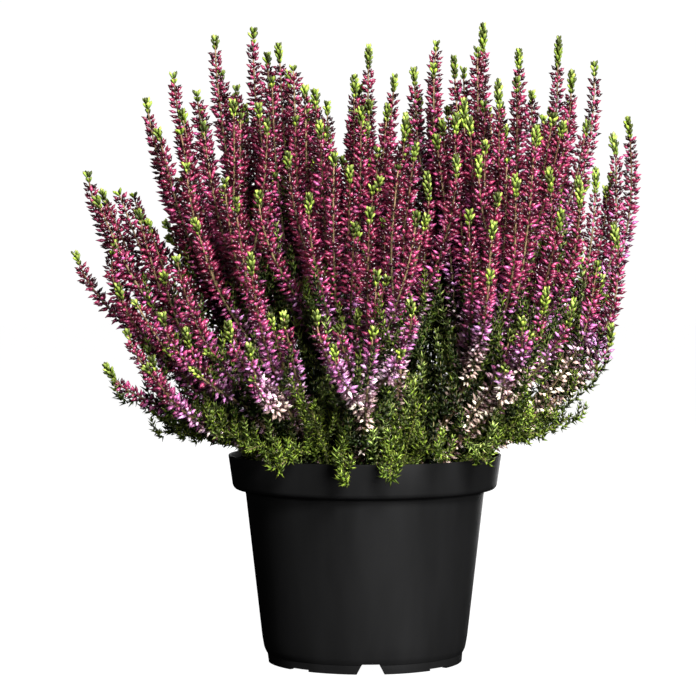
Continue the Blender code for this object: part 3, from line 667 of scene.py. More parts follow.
class Growth:
    """Gathers the stamped buds, leaves and stems of one piece, with a palette place for each vertex."""

    def __init__(self):
        self.verts, self.faces, self.tint, self.count = [], [], [], 0

    def add(self, verts, faces, tint):
        self.verts.append(verts)
        self.faces.append(faces + self.count)
        self.tint.append(tint)
        self.count += len(verts)

    def stamp(self, shape, origin, along, up, length, width, thickness, shade, tones, curl=0.0):
        """One copy of a shape at each origin. It points along, and its upper side faces up."""
        verts, faces, around = shape
        number = len(origin)
        up = up - along * (up * along).sum(1, keepdims=True)
        up /= np.maximum(np.linalg.norm(up, axis=1, keepdims=True), 1e-9)
        side = np.cross(up, along)
        lengthwise = verts[None, :, 2] * np.broadcast_to(length, number)[:, None]
        across = verts[None, :, 0] * np.broadcast_to(width, number)[:, None]
        deep = verts[None, :, 1] * np.broadcast_to(thickness, number)[:, None]
        deep = deep + curl * lengthwise * verts[None, :, 2]
        placed = (origin[:, None, :] + lengthwise[:, :, None] * along[:, None, :]
                  + across[:, :, None] * side[:, None, :] + deep[:, :, None] * up[:, None, :])
        shade = np.clip(shade, 0.01, 0.97)[:, None] + PALETTE_CELL * around[None, :]
        # Each tone has its own third of the ramp: dark for painted shade, middle, bright for painted
        # highlight
        height = (tones[:, None] + 0.04 + 0.92 * verts[None, :, 2]) / TONES
        steps = np.arange(number)[:, None, None] * len(verts)
        self.add(placed.reshape(-1, 3), (faces[None] + steps).reshape(-1, 3),
                 np.stack((shade, height), axis=2).reshape(-1, 2))

    def tube(self, line, low, high, radius_low, radius_high, shade, sides=5, step=6.0):
        """A stem along a line between two distances, tapering, with closed ends, in the middle tone."""
        count = max(2, int(math.ceil((high - low) / step)) + 1)
        places = np.linspace(low, high, count)
        middle, way, normal = line.at(places)
        other = np.cross(way, normal)
        angles = 2.0 * math.pi * np.arange(sides) / sides
        radii = np.linspace(radius_low, radius_high, count)
        ring = (normal[:, None, :] * np.cos(angles)[None, :, None]
                + other[:, None, :] * np.sin(angles)[None, :, None])
        verts = (middle[:, None, :] + ring * radii[:, None, None]).reshape(-1, 3)
        faces = band_faces(count, sides)
        top = (count - 1) * sides
        faces.extend((0, side + 1, side) for side in range(1, sides - 1))
        faces.extend((top, top + side, top + side + 1) for side in range(1, sides - 1))
        around = np.tile(abs(2.0 * np.arange(sides) / sides - 1.0), count)
        height = np.repeat((1.04 + 0.92 * (places - low) / max(high - low, 1e-6)) / TONES, sides)
        self.add(verts, np.array(faces), np.stack((shade + PALETTE_CELL * around, height), axis=1))

    def piece(self, name, look, node, slot):
        """The finished object in metres, with its palette places and an even spread for baking."""
        verts = np.concatenate(self.verts) * MM
        faces = np.concatenate(self.faces)
        tint = np.concatenate(self.tint)
        mesh = bpy.data.meshes.new(name)
        mesh.vertices.add(len(verts))
        mesh.vertices.foreach_set("co", verts.astype(np.float32).ravel())
        mesh.loops.add(faces.size)
        mesh.loops.foreach_set("vertex_index", faces.astype(np.int32).ravel())
        mesh.polygons.add(len(faces))
        mesh.polygons.foreach_set("loop_start", np.arange(0, faces.size, 3, dtype=np.int32))
        low, high = tint.min(axis=0), tint.max(axis=0)
        spread = 0.02 + 0.96 * (tint - low) / np.maximum(high - low, 1e-6)
        for layer, places in (("tint", tint), ("OFBake", spread)):
            held = mesh.uv_layers.new(name=layer)
            held.data.foreach_set("uv", places[faces.ravel()].astype(np.float32).ravel())
        mesh.update(calc_edges=True)
        mesh.validate()
        mesh.shade_smooth()
        mesh.materials.append(look)
        made = bpy.data.objects.new(name, mesh)
        bpy.context.scene.collection.objects.link(made)
        settle_piece(made, [node])


class Line:
    """A smooth stem line with its length, direction and a steady side vector at every point."""

    def __init__(self, points):
        points = np.asarray(points, float)
        ends = np.vstack((2 * points[0] - points[1], points, 2 * points[-1] - points[-2]))
        fine = []
        for span in range(len(points) - 1):
            a, b, c, d = ends[span:span + 4]
            count = max(2, int(np.linalg.norm(c - b) / FINE_STEP))
            t = np.arange(count)[:, None] / count
            fine.append(0.5 * (2 * b + (c - a) * t + (2 * a - 5 * b + 4 * c - d) * t ** 2
                               + (3 * b - a - 3 * c + d) * t ** 3))
        self.points = np.vstack(fine + [points[-1:]])
        steps = np.linalg.norm(np.diff(self.points, axis=0), axis=1)
        self.along = np.concatenate(([0.0], np.cumsum(steps)))
        self.length = self.along[-1]
        ways = np.gradient(self.points, axis=0)
        self.ways = ways / np.linalg.norm(ways, axis=1, keepdims=True)
        normal = np.cross(self.ways[0], (0.31, 0.87, 0.11))
        normals = []
        for way in self.ways:
            normal = normal - way * normal.dot(way)
            normal = normal / np.linalg.norm(normal)
            normals.append(normal)
        self.normals = np.array(normals)

    def at(self, places):
        """Points, directions and side vectors at distances along the line."""
        found = [np.stack([np.interp(places, self.along, rows[:, axis]) for axis in range(3)], axis=1)
                 for rows in (self.points, self.ways, self.normals)]
        for rows in found[1:]:
            rows /= np.maximum(np.linalg.norm(rows, axis=1, keepdims=True), 1e-9)
        return found

    def nearest(self, point):
        return float(self.along[np.argmin(np.linalg.norm(self.points - point, axis=1))])


def pick_painted_light_tones(number, rng):
    """Dark, middle or bright, for each bud or leaf by itself, at random: the dark tone is painted shade, the
    bright one painted highlight.
    """
    return rng.choice(TONES, number, p=PAINTED_LIGHT_TONE_SHARES)


def around_line(line, places, turns):
    """Point on the line, its direction, and the outward direction at each turn."""
    middle, way, normal = line.at(places)
    other = np.cross(way, normal)
    out = normal * np.cos(turns)[:, None] + other * np.sin(turns)[:, None]
    return middle, way, out


def ranks(line, low, high, pitch, rng, jitter):
    """Leaves or buds in four rows, every tier set between those of the last: distance, point and ways."""
    tiers = max(1, int((high - low) / pitch))
    tier = np.repeat(np.arange(tiers), 4)
    places = low + (tier + 0.5) * (high - low) / tiers + rng.uniform(-jitter, jitter, len(tier)) * pitch
    turns = tier * TIER_TURN + np.tile(np.arange(4) * math.pi / 2, tiers)
    turns = turns + rng.normal(0.0, 0.16, len(turns))
    places = np.clip(places, low, high)
    return places, *around_line(line, places, turns)


def lean(way, out, angle):
    """The direction at an angle from the stem's own, turned outwards."""
    return way * np.cos(angle)[:, None] + out * np.sin(angle)[:, None]


def leaning(up_share, angles, spread, rng):
    """Angles from the stem in radians, from a curve of degrees, each a little off."""
    return np.radians(np.interp(up_share, *angles)) + rng.normal(0.0, spread, len(up_share))


def aging(middle):
    """How far the buds at these points have faded: most low down, and more on the right than the left."""
    low = np.clip((FADE_TOP - middle[:, 2]) / FADE_DEPTH, 0.0, 1.0)
    return low * np.interp(middle[:, 0], *FADES)


def fade_of(tip, rng):
    """How pale the oldest buds of a spike are beside that: most on the right."""
    right = np.clip((tip[0] + 70.0) / 120.0, 0.0, 1.0)
    return float(np.clip(0.16 + 0.36 * right + rng.normal(0.0, 0.12), 0.0, 0.8))


def add_buds(buds, greens, line, low, high, fade, reach, rng, shape, pitch):
    """The flowering part: pointed buds in four rows, paler low down, some over a small green bract."""
    places, middle, way, out = ranks(line, low, high, pitch, rng, 0.35)
    up_share = (places - low) / max(high - low, 1e-6)
    number = len(places)
    angle = leaning(up_share, BUD_ANGLES, 0.18, rng)
    size = np.interp(up_share, *BUD_SIZES) * rng.uniform(0.84, 1.14, number)
    size = size * np.clip(np.interp(places, *reach) / BUD_REACH, LEAST_BUD, 1.0)
    along = lean(way, out, angle)
    length = BUD_LENGTH * size
    width = BUD_WIDTH * (0.55 + 0.45 * size) * np.interp(up_share, *BUD_WIDTHS)
    age = fade * np.clip(1.0 - 1.3 * up_share, 0.0, 1.0) + aging(middle)
    shade = 0.07 + 0.16 * np.sqrt(1.0 - up_share) + 0.74 * age + rng.normal(0.0, 0.09, number)
    origin = middle + out * 0.75
    kept = rng.random(number) > OLD_LOSS * np.clip(2.0 * age - 0.8, 0.0, 1.0)
    origin, middle, along, way, out, angle = (rows[kept] for rows in (origin, middle, along, way, out, angle))
    length, width, shade = (rows[kept] for rows in (length, width, shade))
    number = len(shade)
    tones = pick_painted_light_tones(number, rng)
    buds.stamp(shape, origin, along, way, length, width, width * 0.9, shade, tones, curl=0.12)
    with_bract = rng.random(number) < BRACT_SHARE
    middle, way, out = (rows[with_bract] for rows in (middle, way, out))
    number = len(middle)
    greens.stamp(SHADE_LEAF, middle + out * 0.4, lean(way, out, angle[with_bract] + 0.35), way,
                 rng.uniform(*BRACT_LENGTHS, number), 0.9, 0.5, rng.uniform(*BRACT_SHADES, number),
                 pick_painted_light_tones(number, rng))


def add_green_tip(greens, line, low, high, rng):
    """The growing end: stacked thick blunt leaves, bright yellow-green, closing to a point."""
    places, middle, way, out = ranks(line, low - 1.0, high - 0.6, TIP_LEAF_PITCH, rng, 0.12)
    up_share = np.clip((places - low) / max(high - low, 1e-6), 0.0, 1.0)
    number = len(places)
    angle = leaning(up_share, TIP_ANGLES, 0.05, rng)
    size = np.interp(up_share, *TIP_SIZES) * rng.uniform(0.88, 1.12, number)
    shade = 0.51 + 0.11 * up_share + rng.normal(0.0, 0.035, number)
    greens.stamp(TIP_LEAF, middle + out * 0.5, lean(way, out, angle), way, TIP_LEAF_LENGTH * size,
                 TIP_LEAF_WIDTH * size, TIP_LEAF_THICKNESS * size, np.clip(shade, 0.0, 0.72),
                 pick_painted_light_tones(number, rng), curl=-0.06)


def add_scale_leaves(greens, line, low, high, shade, rng, pitch, size, shape=SHADE_LEAF):
    """Tiny overlapping leaves in four rows along a leafy shoot."""
    if high - low < pitch:
        return
    places, middle, way, out = ranks(line, low, high, pitch, rng, 0.3)
    number = len(places)
    up_share = (places - low) / (high - low)
    angle = leaning(up_share, SCALE_LEAF_ANGLES, 0.13, rng)
    scale = size * rng.uniform(0.8, 1.15, number) * np.interp(up_share, *SCALE_LEAF_SIZES)
    tone = shade + 0.10 * up_share + rng.normal(0.0, 0.05, number)
    greens.stamp(shape, middle + out * 0.3, lean(way, out, angle), way, SCALE_LEAF_LENGTH * scale,
                 SCALE_LEAF_WIDTH * scale, SCALE_LEAF_THICKNESS * scale, np.clip(tone, 0.02, 0.68),
                 pick_painted_light_tones(number, rng), curl=-0.05)


def clear_of_pot(point):
    """Whether a shoot's point is well above the soil, and inside, over or outside the rim."""
    radius = math.hypot(point[0], point[1])
    if point[2] < SOIL_TOP + 2.0:
        return False
    return radius < RIM_RADIUS - 6.5 or point[2] > RIM_TOP + 3.0 or radius > RIM_RADIUS + 4.0


def add_side_shoots(greens, line, low, high, shade, rng, every, reaches, pitch, size):
    """Short leafy shoots that fill the bush between its stems, each bending up at its end."""
    place = low + rng.uniform(0.0, every)
    while place < high:
        middle, way, out = (rows[0] for rows in around_line(
            line, np.array([place]), np.array([rng.uniform(0.0, 2.0 * math.pi)])))
        reach = rng.uniform(*reaches)
        first = 0.55 * way + 0.85 * out
        rise = np.array((0.0, 0.0, 1.0))
        points = [middle, middle + 0.35 * reach * first,
                  middle + 0.72 * reach * (0.75 * first + 0.35 * rise),
                  middle + reach * (0.62 * first + 0.62 * rise)]
        if all(clear_of_pot(point) for point in points):
            shoot = Line(points)
            greens.tube(shoot, 0.0, shoot.length - 0.5, 0.38, 0.2, STEM_SHADE_GREEN, sides=3, step=9.0)
            own_shade = shade + rng.uniform(-0.06, 0.10)
            add_scale_leaves(greens, shoot, 1.5, shoot.length, own_shade, rng, pitch, size)
        place += every * rng.uniform(0.7, 1.3)


def zone_ends(spike, line):
    """Distances along the line where the buds and the green tip begin."""
    return [line.nearest(spike["points"][spike["zones"].index(zone)]) for zone in ("buds", "green")]


def upper_points(line, from_share):
    """Points all along the upper part of a spike, where its neighbours must not run into it."""
    return line.at(np.arange(from_share * line.length, line.length, CROWD_STEP))[0]


def add_twins(line, bud_start, crowd, count, rng):
    """Lesser spikes that fork off beside a spike, each turned to where most room is left."""
    twins = []
    for _ in range(count):
        fork = bud_start - rng.uniform(*TWIN_FORKS)
        end = line.length - rng.uniform(*TWIN_SHORTFALLS)
        if fork < TWIN_LOWEST or end - fork < TWIN_SHORTEST:
            continue
        offset = rng.uniform(*TWIN_OFFSETS)
        places = np.array((fork, *(fork + bend * (end - fork) for bend in TWIN_BENDS), end))
        middle, way, normal = line.at(places)
        other = np.cross(way, normal)
        share = np.array(TWIN_SPREADS)[:, None] * offset
        best, best_room = None, TWIN_ROOM
        for turn in rng.uniform(0.0, 2.0 * math.pi) + np.arange(TWIN_TRIES) * 2.0 * math.pi / TWIN_TRIES:
            points = middle + share * (normal * math.cos(turn) + other * math.sin(turn))
            room = min(np.linalg.norm(crowd - point, axis=1).min() for point in points[2:])
            inside = abs(points[3][0]) < min(abs(middle[3][0]) + 1.0, TWIN_LIMIT)
            if room > best_room and inside:
                best, best_room = points, room
        if best is not None:
            twin = Line(best)
            twins.append(twin)
            crowd = np.vstack((crowd, upper_points(twin, 0.4)))
    return twins, crowd


def dress_spike(buds, greens, line, bud_start, green_start, reach, fade, rng, shape, pitch):
    """A stem with its buds and, past a short bare neck, its green growing end."""
    greens.tube(line, bud_start - 0.5, line.length - 2.0, 0.72, 0.4, rng.uniform(*STEM_SHADES))
    neck = rng.uniform(*NECKS)
    add_buds(buds, greens, line, bud_start, green_start - neck, fade, reach, rng, shape, pitch)
    add_green_tip(greens, line, green_start, line.length, rng)


def dress_main(buds, greens, spike, rng):
    """One spike of the CAD and the leafy shoots round its foot. Returns what its twins start from."""
    line = Line(spike["points"])
    bud_start, green_start = zone_ends(spike, line)
    tip = spike["points"][-1]
    reach = (np.array([line.nearest(point) for point in spike["points"]]), spike["reach"])
    from_soil = spike["parent"] is None
    facing = tip[1] < 0.0
    greens.tube(line, 0.0, bud_start, 1.25 if from_soil else 0.9, 0.75, STEM_SHADE_TAN)
    fade = fade_of(tip, rng)
    growth = np.interp(tip[0], *TIP_GROWTHS)
    green_start = line.length - growth * rng.uniform(*TIP_SHARES) * (line.length - green_start)
    first_bud = max(bud_start - (FRONT_BUDS_LOWER if facing else BACK_BUDS_LOWER), LOWEST_BUDS)
    dress_spike(buds, greens, line, first_bud, green_start, reach, fade, rng,
                BUD if facing else PLAIN_BUD, BUD_PITCH_FINE)
    foot = SOIL_FOOT if from_soil else FORK_FOOT
    # Leaves on and round this spike are darker the nearer it stands to the middle of the bush: painted shade
    inner = np.clip(1.0 - math.hypot(tip[0], tip[1]) / 110.0, 0.0, 1.0)
    shade = 0.15 - 0.12 * inner
    add_scale_leaves(greens, line, foot + 8.0, bud_start + 14.0, shade, rng, pitch=2.6, size=1.2)
    add_side_shoots(greens, line, foot, bud_start + 26.0, shade + 0.03, rng,
                    **(FRONT_SHOOTS if facing else BACK_SHOOTS))
    if from_soil:
        for inner_shade in INNER_PAINTED_DARK_AND_WITHERED:
            add_side_shoots(greens, line, foot, bud_start + 10.0, inner_shade, rng, **INNER_SHOOTS)
    return line, bud_start, fade


def dress_twin(buds, greens, twin, fade, rng):
    """A lesser spike, with plainer buds."""
    start = min(rng.uniform(*TWIN_STARTS), 0.3 * twin.length)
    green_start = twin.length - rng.uniform(*TWIN_TIPS)
    greens.tube(twin, 0.0, start, 0.7, 0.62, STEM_SHADE_TAN)
    fade = np.clip(fade + rng.normal(0.0, 0.12), 0.1, 1.0)
    reach = ((0.0, twin.length), (BUD_REACH, BUD_REACH))
    dress_spike(buds, greens, twin, start, green_start, reach, fade, rng, PLAIN_BUD, TWIN_BUD_PITCH)


def dress_branch(name, spikes, looks, crowd, rng):
    """All that is fine on one flowering branch: buds in one piece, leaves and stems in another."""
    buds, greens = Growth(), Growth()
    for spike in spikes:
        line, bud_start, fade = dress_main(buds, greens, spike, rng)
        count = TALL_TWINS if spike["points"][-1][2] > TALL_TIP else LOW_TWINS
        twins, crowd = add_twins(line, bud_start, crowd, count, rng)
        for twin in twins:
            dress_twin(buds, greens, twin, fade, rng)
    buds.piece(f"{name}_buds", looks[0], name, "heather_buds")
    greens.piece(f"{name}_leaves", looks[1], name, "heather_leaves")
    return crowd


def dress_shoots(name, shoots, look, rng):
    """One group of low leafy shoots. Those that hang over the front of the rim are the leafiest."""
    greens = Growth()
    for shoot in shoots:
        line = Line(shoot["points"])
        start = SOIL_FOOT if shoot["parent"] is None else 3.0
        greens.tube(line, 0.0, line.length - 1.0, 0.8, 0.3, STEM_SHADE_GREEN)
        shade = SKIRT_SHADE + rng.uniform(-0.06, 0.08)
        add_scale_leaves(greens, line, start, line.length, shade, rng, 1.5, 1.2, SCALE_LEAF)
        end = shoot["points"][-1]
        if end[2] < RIM_TOP and end[1] < -0.6 * RIM_RADIUS:
            add_side_shoots(greens, line, 0.4 * line.length, line.length, shade + 0.04, rng, **SPILL_SHOOTS)
        else:
            add_side_shoots(greens, line, start + 3.0, line.length - 1.0, shade, rng, **SKIRT_SHOOTS)
    greens.piece(f"{name}_leaves", look, name, "heather_leaves")


def principled(name, values):
    """A new material with its shader's own values set."""
    look = bpy.data.materials.new(name)
    look.use_nodes = True
    shader = look.node_tree.nodes["Principled BSDF"]
    for socket, value in values.items():
        shader.inputs[socket].default_value = value
    return look, look.node_tree, shader


def add_node(tree, kind, values):
    node = tree.nodes.new(kind)
    for socket, value in values.items():
        node.inputs[socket].default_value = value
    return node


def ramp(tree, source, stops):
    """The colour that a ramp gives for a value."""
    node = tree.nodes.new("ShaderNodeValToRGB")
    points = node.color_ramp.elements
    while len(points) < len(stops):
        points.new(0.5)
    for point, (position, color) in zip(points, stops):
        point.position = position
        point.color = (*color, 1.0)
    tree.links.new(source, node.inputs["Fac"])
    return node.outputs["Color"]


def texture(tree, kind, values, output, stretch=None):
    """One output of a texture laid out in the object's own space, which may be stretched first."""
    node = add_node(tree, kind, values)
    space = tree.nodes.new("ShaderNodeTexCoord").outputs["Object"]
    if stretch:
        mapping = add_node(tree, "ShaderNodeMapping", {"Scale": stretch})
        tree.links.new(space, mapping.inputs["Vector"])
        space = mapping.outputs["Vector"]
    tree.links.new(space, node.inputs["Vector"])
    return node.outputs[output]


def vary_gloss(tree, shader, source, smoothest, roughest):
    gloss = add_node(tree, "ShaderNodeMapRange", {"To Min": smoothest, "To Max": roughest})
    tree.links.new(source, gloss.inputs["Value"])
    tree.links.new(gloss.outputs["Result"], shader.inputs["Roughness"])


def add_relief(tree, shader, source, strength, distance):
    relief = add_node(tree, "ShaderNodeBump", {"Strength": strength, "Distance": distance})
    tree.links.new(source, relief.inputs["Height"])
    tree.links.new(relief.outputs["Normal"], shader.inputs["Normal"])


def toned_with_painted_light(heights, strengths, gap=0.004):
    """One stretch of the ramp for each tone: the same colours up the bud or leaf, darker or brighter. The
    darker and brighter stretches are random tone differences and also painted shade and painted highlight.
    """
    stops = []
    for tone, strength in enumerate(strengths):
        for position, color in heights:
            place = (tone + min(max(position, gap), 1.0 - gap)) / len(strengths)
            stops.append((place, tuple(share * part for share, part in zip(strength, color))))
    return tuple(stops)


def plant_material(name, shades, heights, tones, roughness, bump, shine):
    """Colour by the palette place of each bud or leaf, with fine unevenness in gloss and relief. Its dark and
    bright tones paint shade and highlight into the colour.
    """
    look, tree, shader = principled(name, {"Specular IOR Level": shine})
    tint = tree.nodes.new("ShaderNodeUVMap")
    tint.uv_map = "tint"
    split = tree.nodes.new("ShaderNodeSeparateXYZ")
    tree.links.new(tint.outputs["UV"], split.inputs[0])
    blend = tree.nodes.new("ShaderNodeMix")
    blend.data_type = "RGBA"
    blend.blend_type = "MULTIPLY"
    blend.inputs[0].default_value = 1.0
    tree.links.new(ramp(tree, split.outputs["X"], shades), blend.inputs[6])
    tree.links.new(ramp(tree, split.outputs["Y"], toned_with_painted_light(heights, tones)), blend.inputs[7])
    tree.links.new(blend.outputs[2], shader.inputs["Base Color"])
    grain = texture(tree, "ShaderNodeTexNoise", {"Scale": 900.0}, "Fac")
    vary_gloss(tree, shader, grain, roughness - 0.1, roughness + 0.1)
    add_relief(tree, shader, grain, bump, 0.0003)
    return look


def bud_material():
    """Dark crimson through magenta and lilac to cream, with pale middles and brighter tips. A bud's darker
    foot is partly its own greenish base and partly painted shade at the stem; its brighter upper part and its
    bright tone are painted highlight, its dark tone painted shade.
    """
    shades = (
        (0.00, (0.060, 0.004, 0.014)),
        (0.14, (0.210, 0.015, 0.046)),
        (0.28, (0.345, 0.038, 0.115)),
        (0.42, (0.355, 0.074, 0.215)),
        (0.58, (0.460, 0.185, 0.390)),
        (0.76, (0.630, 0.400, 0.440)),
        (1.00, (0.780, 0.590, 0.470)),
    )
    # Up each bud: a darker greenish foot, partly its own colour and partly painted shade; a brighter upper
    # part, painted highlight
    heights = (
        (0.0, (0.45, 0.55, 0.38)),
        (0.35, (0.90, 0.86, 0.92)),
        (0.75, (1.05, 1.08, 1.05)),
        (1.0, (0.95, 0.90, 0.95)),
    )
    # Dark tone: painted shade. Bright, paler tone: painted highlight, like gloss
    tones = ((0.14, 0.09, 0.11), (0.84, 0.80, 0.80), (1.55, 1.85, 1.80))
    return plant_material("heather_buds", shades, heights, tones, roughness=0.30, bump=0.25, shine=0.75)


def leaf_material():
    """Deep green through fresh yellow-green, then the olive, tan and brown of stems."""
    shades = (
        (0.00, (0.009, 0.015, 0.002)),
        (0.20, (0.036, 0.060, 0.006)),
        (0.38, (0.160, 0.195, 0.020)),
        (0.52, (0.200, 0.270, 0.030)),
        (0.70, (0.330, 0.385, 0.105)),
        (0.78, (0.190, 0.190, 0.070)),
        (0.90, (0.300, 0.205, 0.115)),
        (1.00, (0.110, 0.052, 0.028)),
    )
    heights = (
        (0.0, (0.30, 0.42, 0.34)),
        (0.5, (0.72, 0.84, 0.70)),
        (0.85, (1.1, 1.06, 1.0)),
        (1.0, (1.35, 1.2, 1.15)),
    )
    # Dark tone: painted shade. Bright tone: painted highlight
    tones = ((0.25,) * 3, (0.85,) * 3, (1.70, 1.65, 1.80))
    return plant_material("heather_leaves", shades, heights, tones, roughness=0.46, bump=0.2, shine=0.3)


def pot_material():
    """Matt black moulded plastic: a fine moulded grain, and faint flow marks down the wall."""
    look, tree, shader = principled("pot_plastic", {
        "Base Color": (0.006, 0.006, 0.0063, 1.0),
        "Roughness": 0.5,
        "Specular IOR Level": 0.06,
    })
    grain = texture(tree, "ShaderNodeTexNoise", {"Scale": 1800.0, "Detail": 3.0}, "Fac")
    flow = texture(tree, "ShaderNodeTexNoise", {"Scale": 1.0, "Detail": 4.0}, "Fac", (60.0, 60.0, 9.0))
    blacks = ((0.3, (0.0056, 0.0056, 0.0057)), (0.7, (0.0086, 0.0086, 0.0088)))
    tree.links.new(ramp(tree, flow, blacks), shader.inputs["Base Color"])
    vary_gloss(tree, shader, flow, 0.38, 0.52)
    add_relief(tree, shader, grain, 0.12, 0.0002)
    return look


def soil_material():
    """Dark peat with paler crumbs."""
    look, tree, shader = principled("peat", {"Base Color": (0.03, 0.02, 0.012, 1.0), "Roughness": 0.95})
    crumbs = texture(tree, "ShaderNodeTexVoronoi", {"Scale": 420.0}, "Distance")
    browns = ((0.0, (0.012, 0.008, 0.005)), (0.6, (0.045, 0.028, 0.016)), (1.0, (0.10, 0.065, 0.035)))
    tree.links.new(ramp(tree, crumbs, browns), shader.inputs["Base Color"])
    add_relief(tree, shader, crumbs, 0.8, 0.001)
    return look


def rounded(profile, steps):
    """Points of a profile given as (radius, height, rounding), with each corner rounded, in millimetres."""
    out = []
    corners = [np.array(corner[:2]) for corner in profile]
    for index, (*place, rounding) in enumerate(profile):
        if rounding == 0.0:
            out.append(tuple(place))
            continue
        point = corners[index]
        before = corners[index - 1] - point
        after = corners[index + 1] - point
        reach = min(rounding, 0.45 * np.linalg.norm(before), 0.45 * np.linalg.norm(after))
        start = point + reach * before / np.linalg.norm(before)
        end = point + reach * after / np.linalg.norm(after)
        for step in range(steps + 1):
            t = step / steps
            out.append(tuple((1 - t) ** 2 * start + 2 * t * (1 - t) * point + t ** 2 * end))
    return out


def turned_piece(name, profile, steps):
    """An object turned round Z from a profile in millimetres."""
    mesh = bpy.data.meshes.new(name)
    shape = bmesh.new()
    row = [shape.verts.new((radius * MM, 0.0, height * MM)) for radius, height in profile]
    edges = [shape.edges.new(pair) for pair in zip(row, row[1:])]
    bmesh.ops.spin(shape, geom=row + edges, cent=(0, 0, 0), axis=(0, 0, 1), angle=2.0 * math.pi,
                   steps=steps, use_merge=True)
    bmesh.ops.remove_doubles(shape, verts=shape.verts, dist=1e-6)
    bmesh.ops.recalc_face_normals(shape, faces=shape.faces)
    shape.to_mesh(mesh)
    shape.free()
    made = bpy.data.objects.new(name, mesh)
    bpy.context.scene.collection.objects.link(made)
    return made


def move_to(item, home):
    for owner in list(item.users_collection):
        owner.objects.unlink(item)
    home.objects.link(item)


def cutter_block(name, radius, depth, width, top_width, high, turn, cutters):
    """A block across the foot ring from below it up to a height, turned about Z by degrees from the front."""
    bpy.ops.mesh.primitive_cube_add(size=2.0)
    block = bpy.context.object
    block.name = name
    for vert in block.data.vertices:
        top = vert.co.z > 0
        vert.co.x = math.copysign(0.5 * (top_width if top else width), vert.co.x) * MM
        vert.co.y = (-radius + math.copysign(0.5 * depth, vert.co.y)) * MM
        vert.co.z = (high if top else -1.0) * MM
    block.rotation_euler.z = math.radians(turn)
    move_to(block, cutters)


def drain_cutter(turn, cutters):
    """A rod through the pot's floor for one drain hole."""
    angle = math.radians(turn + 45.0)
    bpy.ops.mesh.primitive_cylinder_add(
        vertices=32, radius=DRAIN_RADIUS * MM, depth=4.0 * WALL * MM,
        location=(DRAIN_CIRCLE * MM * math.cos(angle), DRAIN_CIRCLE * MM * math.sin(angle),
                  (FLOOR_UNDERSIDE + 0.5 * WALL) * MM))
    move_to(bpy.context.object, cutters)


def cut_foot(pot):
    """Cut the notches with their shallow recesses, the gaps and the drain holes, four of each."""
    cutters = bpy.data.collections.new("pot_cuts")
    bpy.context.scene.collection.children.link(cutters)
    blocks = (
        ("recess", FOOT_RADIUS + 1.6, 3.2, 17.0, 17.0, 4.0, NOTCH_ANGLE),
        ("notch", FOOT_RADIUS, 14.0, NOTCH_WIDTH - 2.0, NOTCH_TOP_WIDTH, NOTCH_HEIGHT, NOTCH_ANGLE),
        ("gap", FOOT_RADIUS, 14.0, GAP_WIDTH, GAP_WIDTH, GAP_HEIGHT, GAP_ANGLE),
    )
    for quarter in range(4):
        turn = 90.0 * quarter
        for name, *sizes, angle in blocks:
            cutter_block(f"{name}_{quarter}", *sizes, angle + turn, cutters)
        drain_cutter(turn, cutters)
    boolean = pot.modifiers.new("cut", "BOOLEAN")
    boolean.operation = "DIFFERENCE"
    boolean.solver = "EXACT"
    boolean.operand_type = "COLLECTION"
    boolean.collection = cutters
    pot.data = bpy.data.meshes.new_from_object(pot.evaluated_get(bpy.context.evaluated_depsgraph_get()))
    pot.modifiers.clear()
    for cutter in list(cutters.objects):
        bpy.data.objects.remove(cutter)
    bpy.data.collections.remove(cutters)


def make_fine_pot():
    """The pot with its true fine section, rounded edges and cut foot."""
    band_foot = RIM_TOP - RIM_BAND
    band_radius = RIM_RADIUS - RIM_TAPER
    floor_top = FLOOR_UNDERSIDE + WALL
    profile = (
        (0.0, floor_top, 0.0),
        (BODY_LOW_RADIUS - WALL - 1.6, floor_top, 1.5),
        (BODY_LOW_RADIUS - WALL, BODY_FOOT, 2.0),
        (BODY_TOP_RADIUS - WALL, band_foot - 3.0, 1.0),
        (band_radius - WALL - 0.5, band_foot + 0.8, 1.0),
        (RIM_RADIUS - WALL, RIM_TOP, 0.45),
        (RIM_RADIUS, RIM_TOP, 0.45),
        (band_radius, band_foot, 0.9),
        (band_radius - 1.0, band_foot - 1.4, 0.8),
        (BODY_TOP_RADIUS + 0.3, band_foot - 2.6, 1.0),
        (BODY_TOP_RADIUS, band_foot - 4.4, 2.0),
        (BODY_LOW_RADIUS, BODY_FOOT, 3.0),
        (BODY_LOW_RADIUS - 0.9, 6.6, 1.6),
        (FOOT_RADIUS + 0.55, 4.5, 0.4),
        (FOOT_RADIUS + 0.25, 4.2, 0.0),
        (FOOT_RADIUS, 0.0, 0.4),
        (FOOT_RADIUS - FOOT_WIDTH, 0.0, 0.4),
        (FOOT_RADIUS - FOOT_WIDTH - 0.2, FLOOR_UNDERSIDE, 1.0),
        (0.0, FLOOR_UNDERSIDE, 0.0),
    )
    pot = turned_piece("pot_fine", rounded(profile, 3), POT_SIDES)
    cut_foot(pot)
    pot.data.shade_smooth()
    pot.data.set_sharp_from_angle(angle=math.radians(32.0))
    pot.data.materials.clear()
    pot.data.materials.append(pot_material())
    settle_piece(pot, ["pot"])


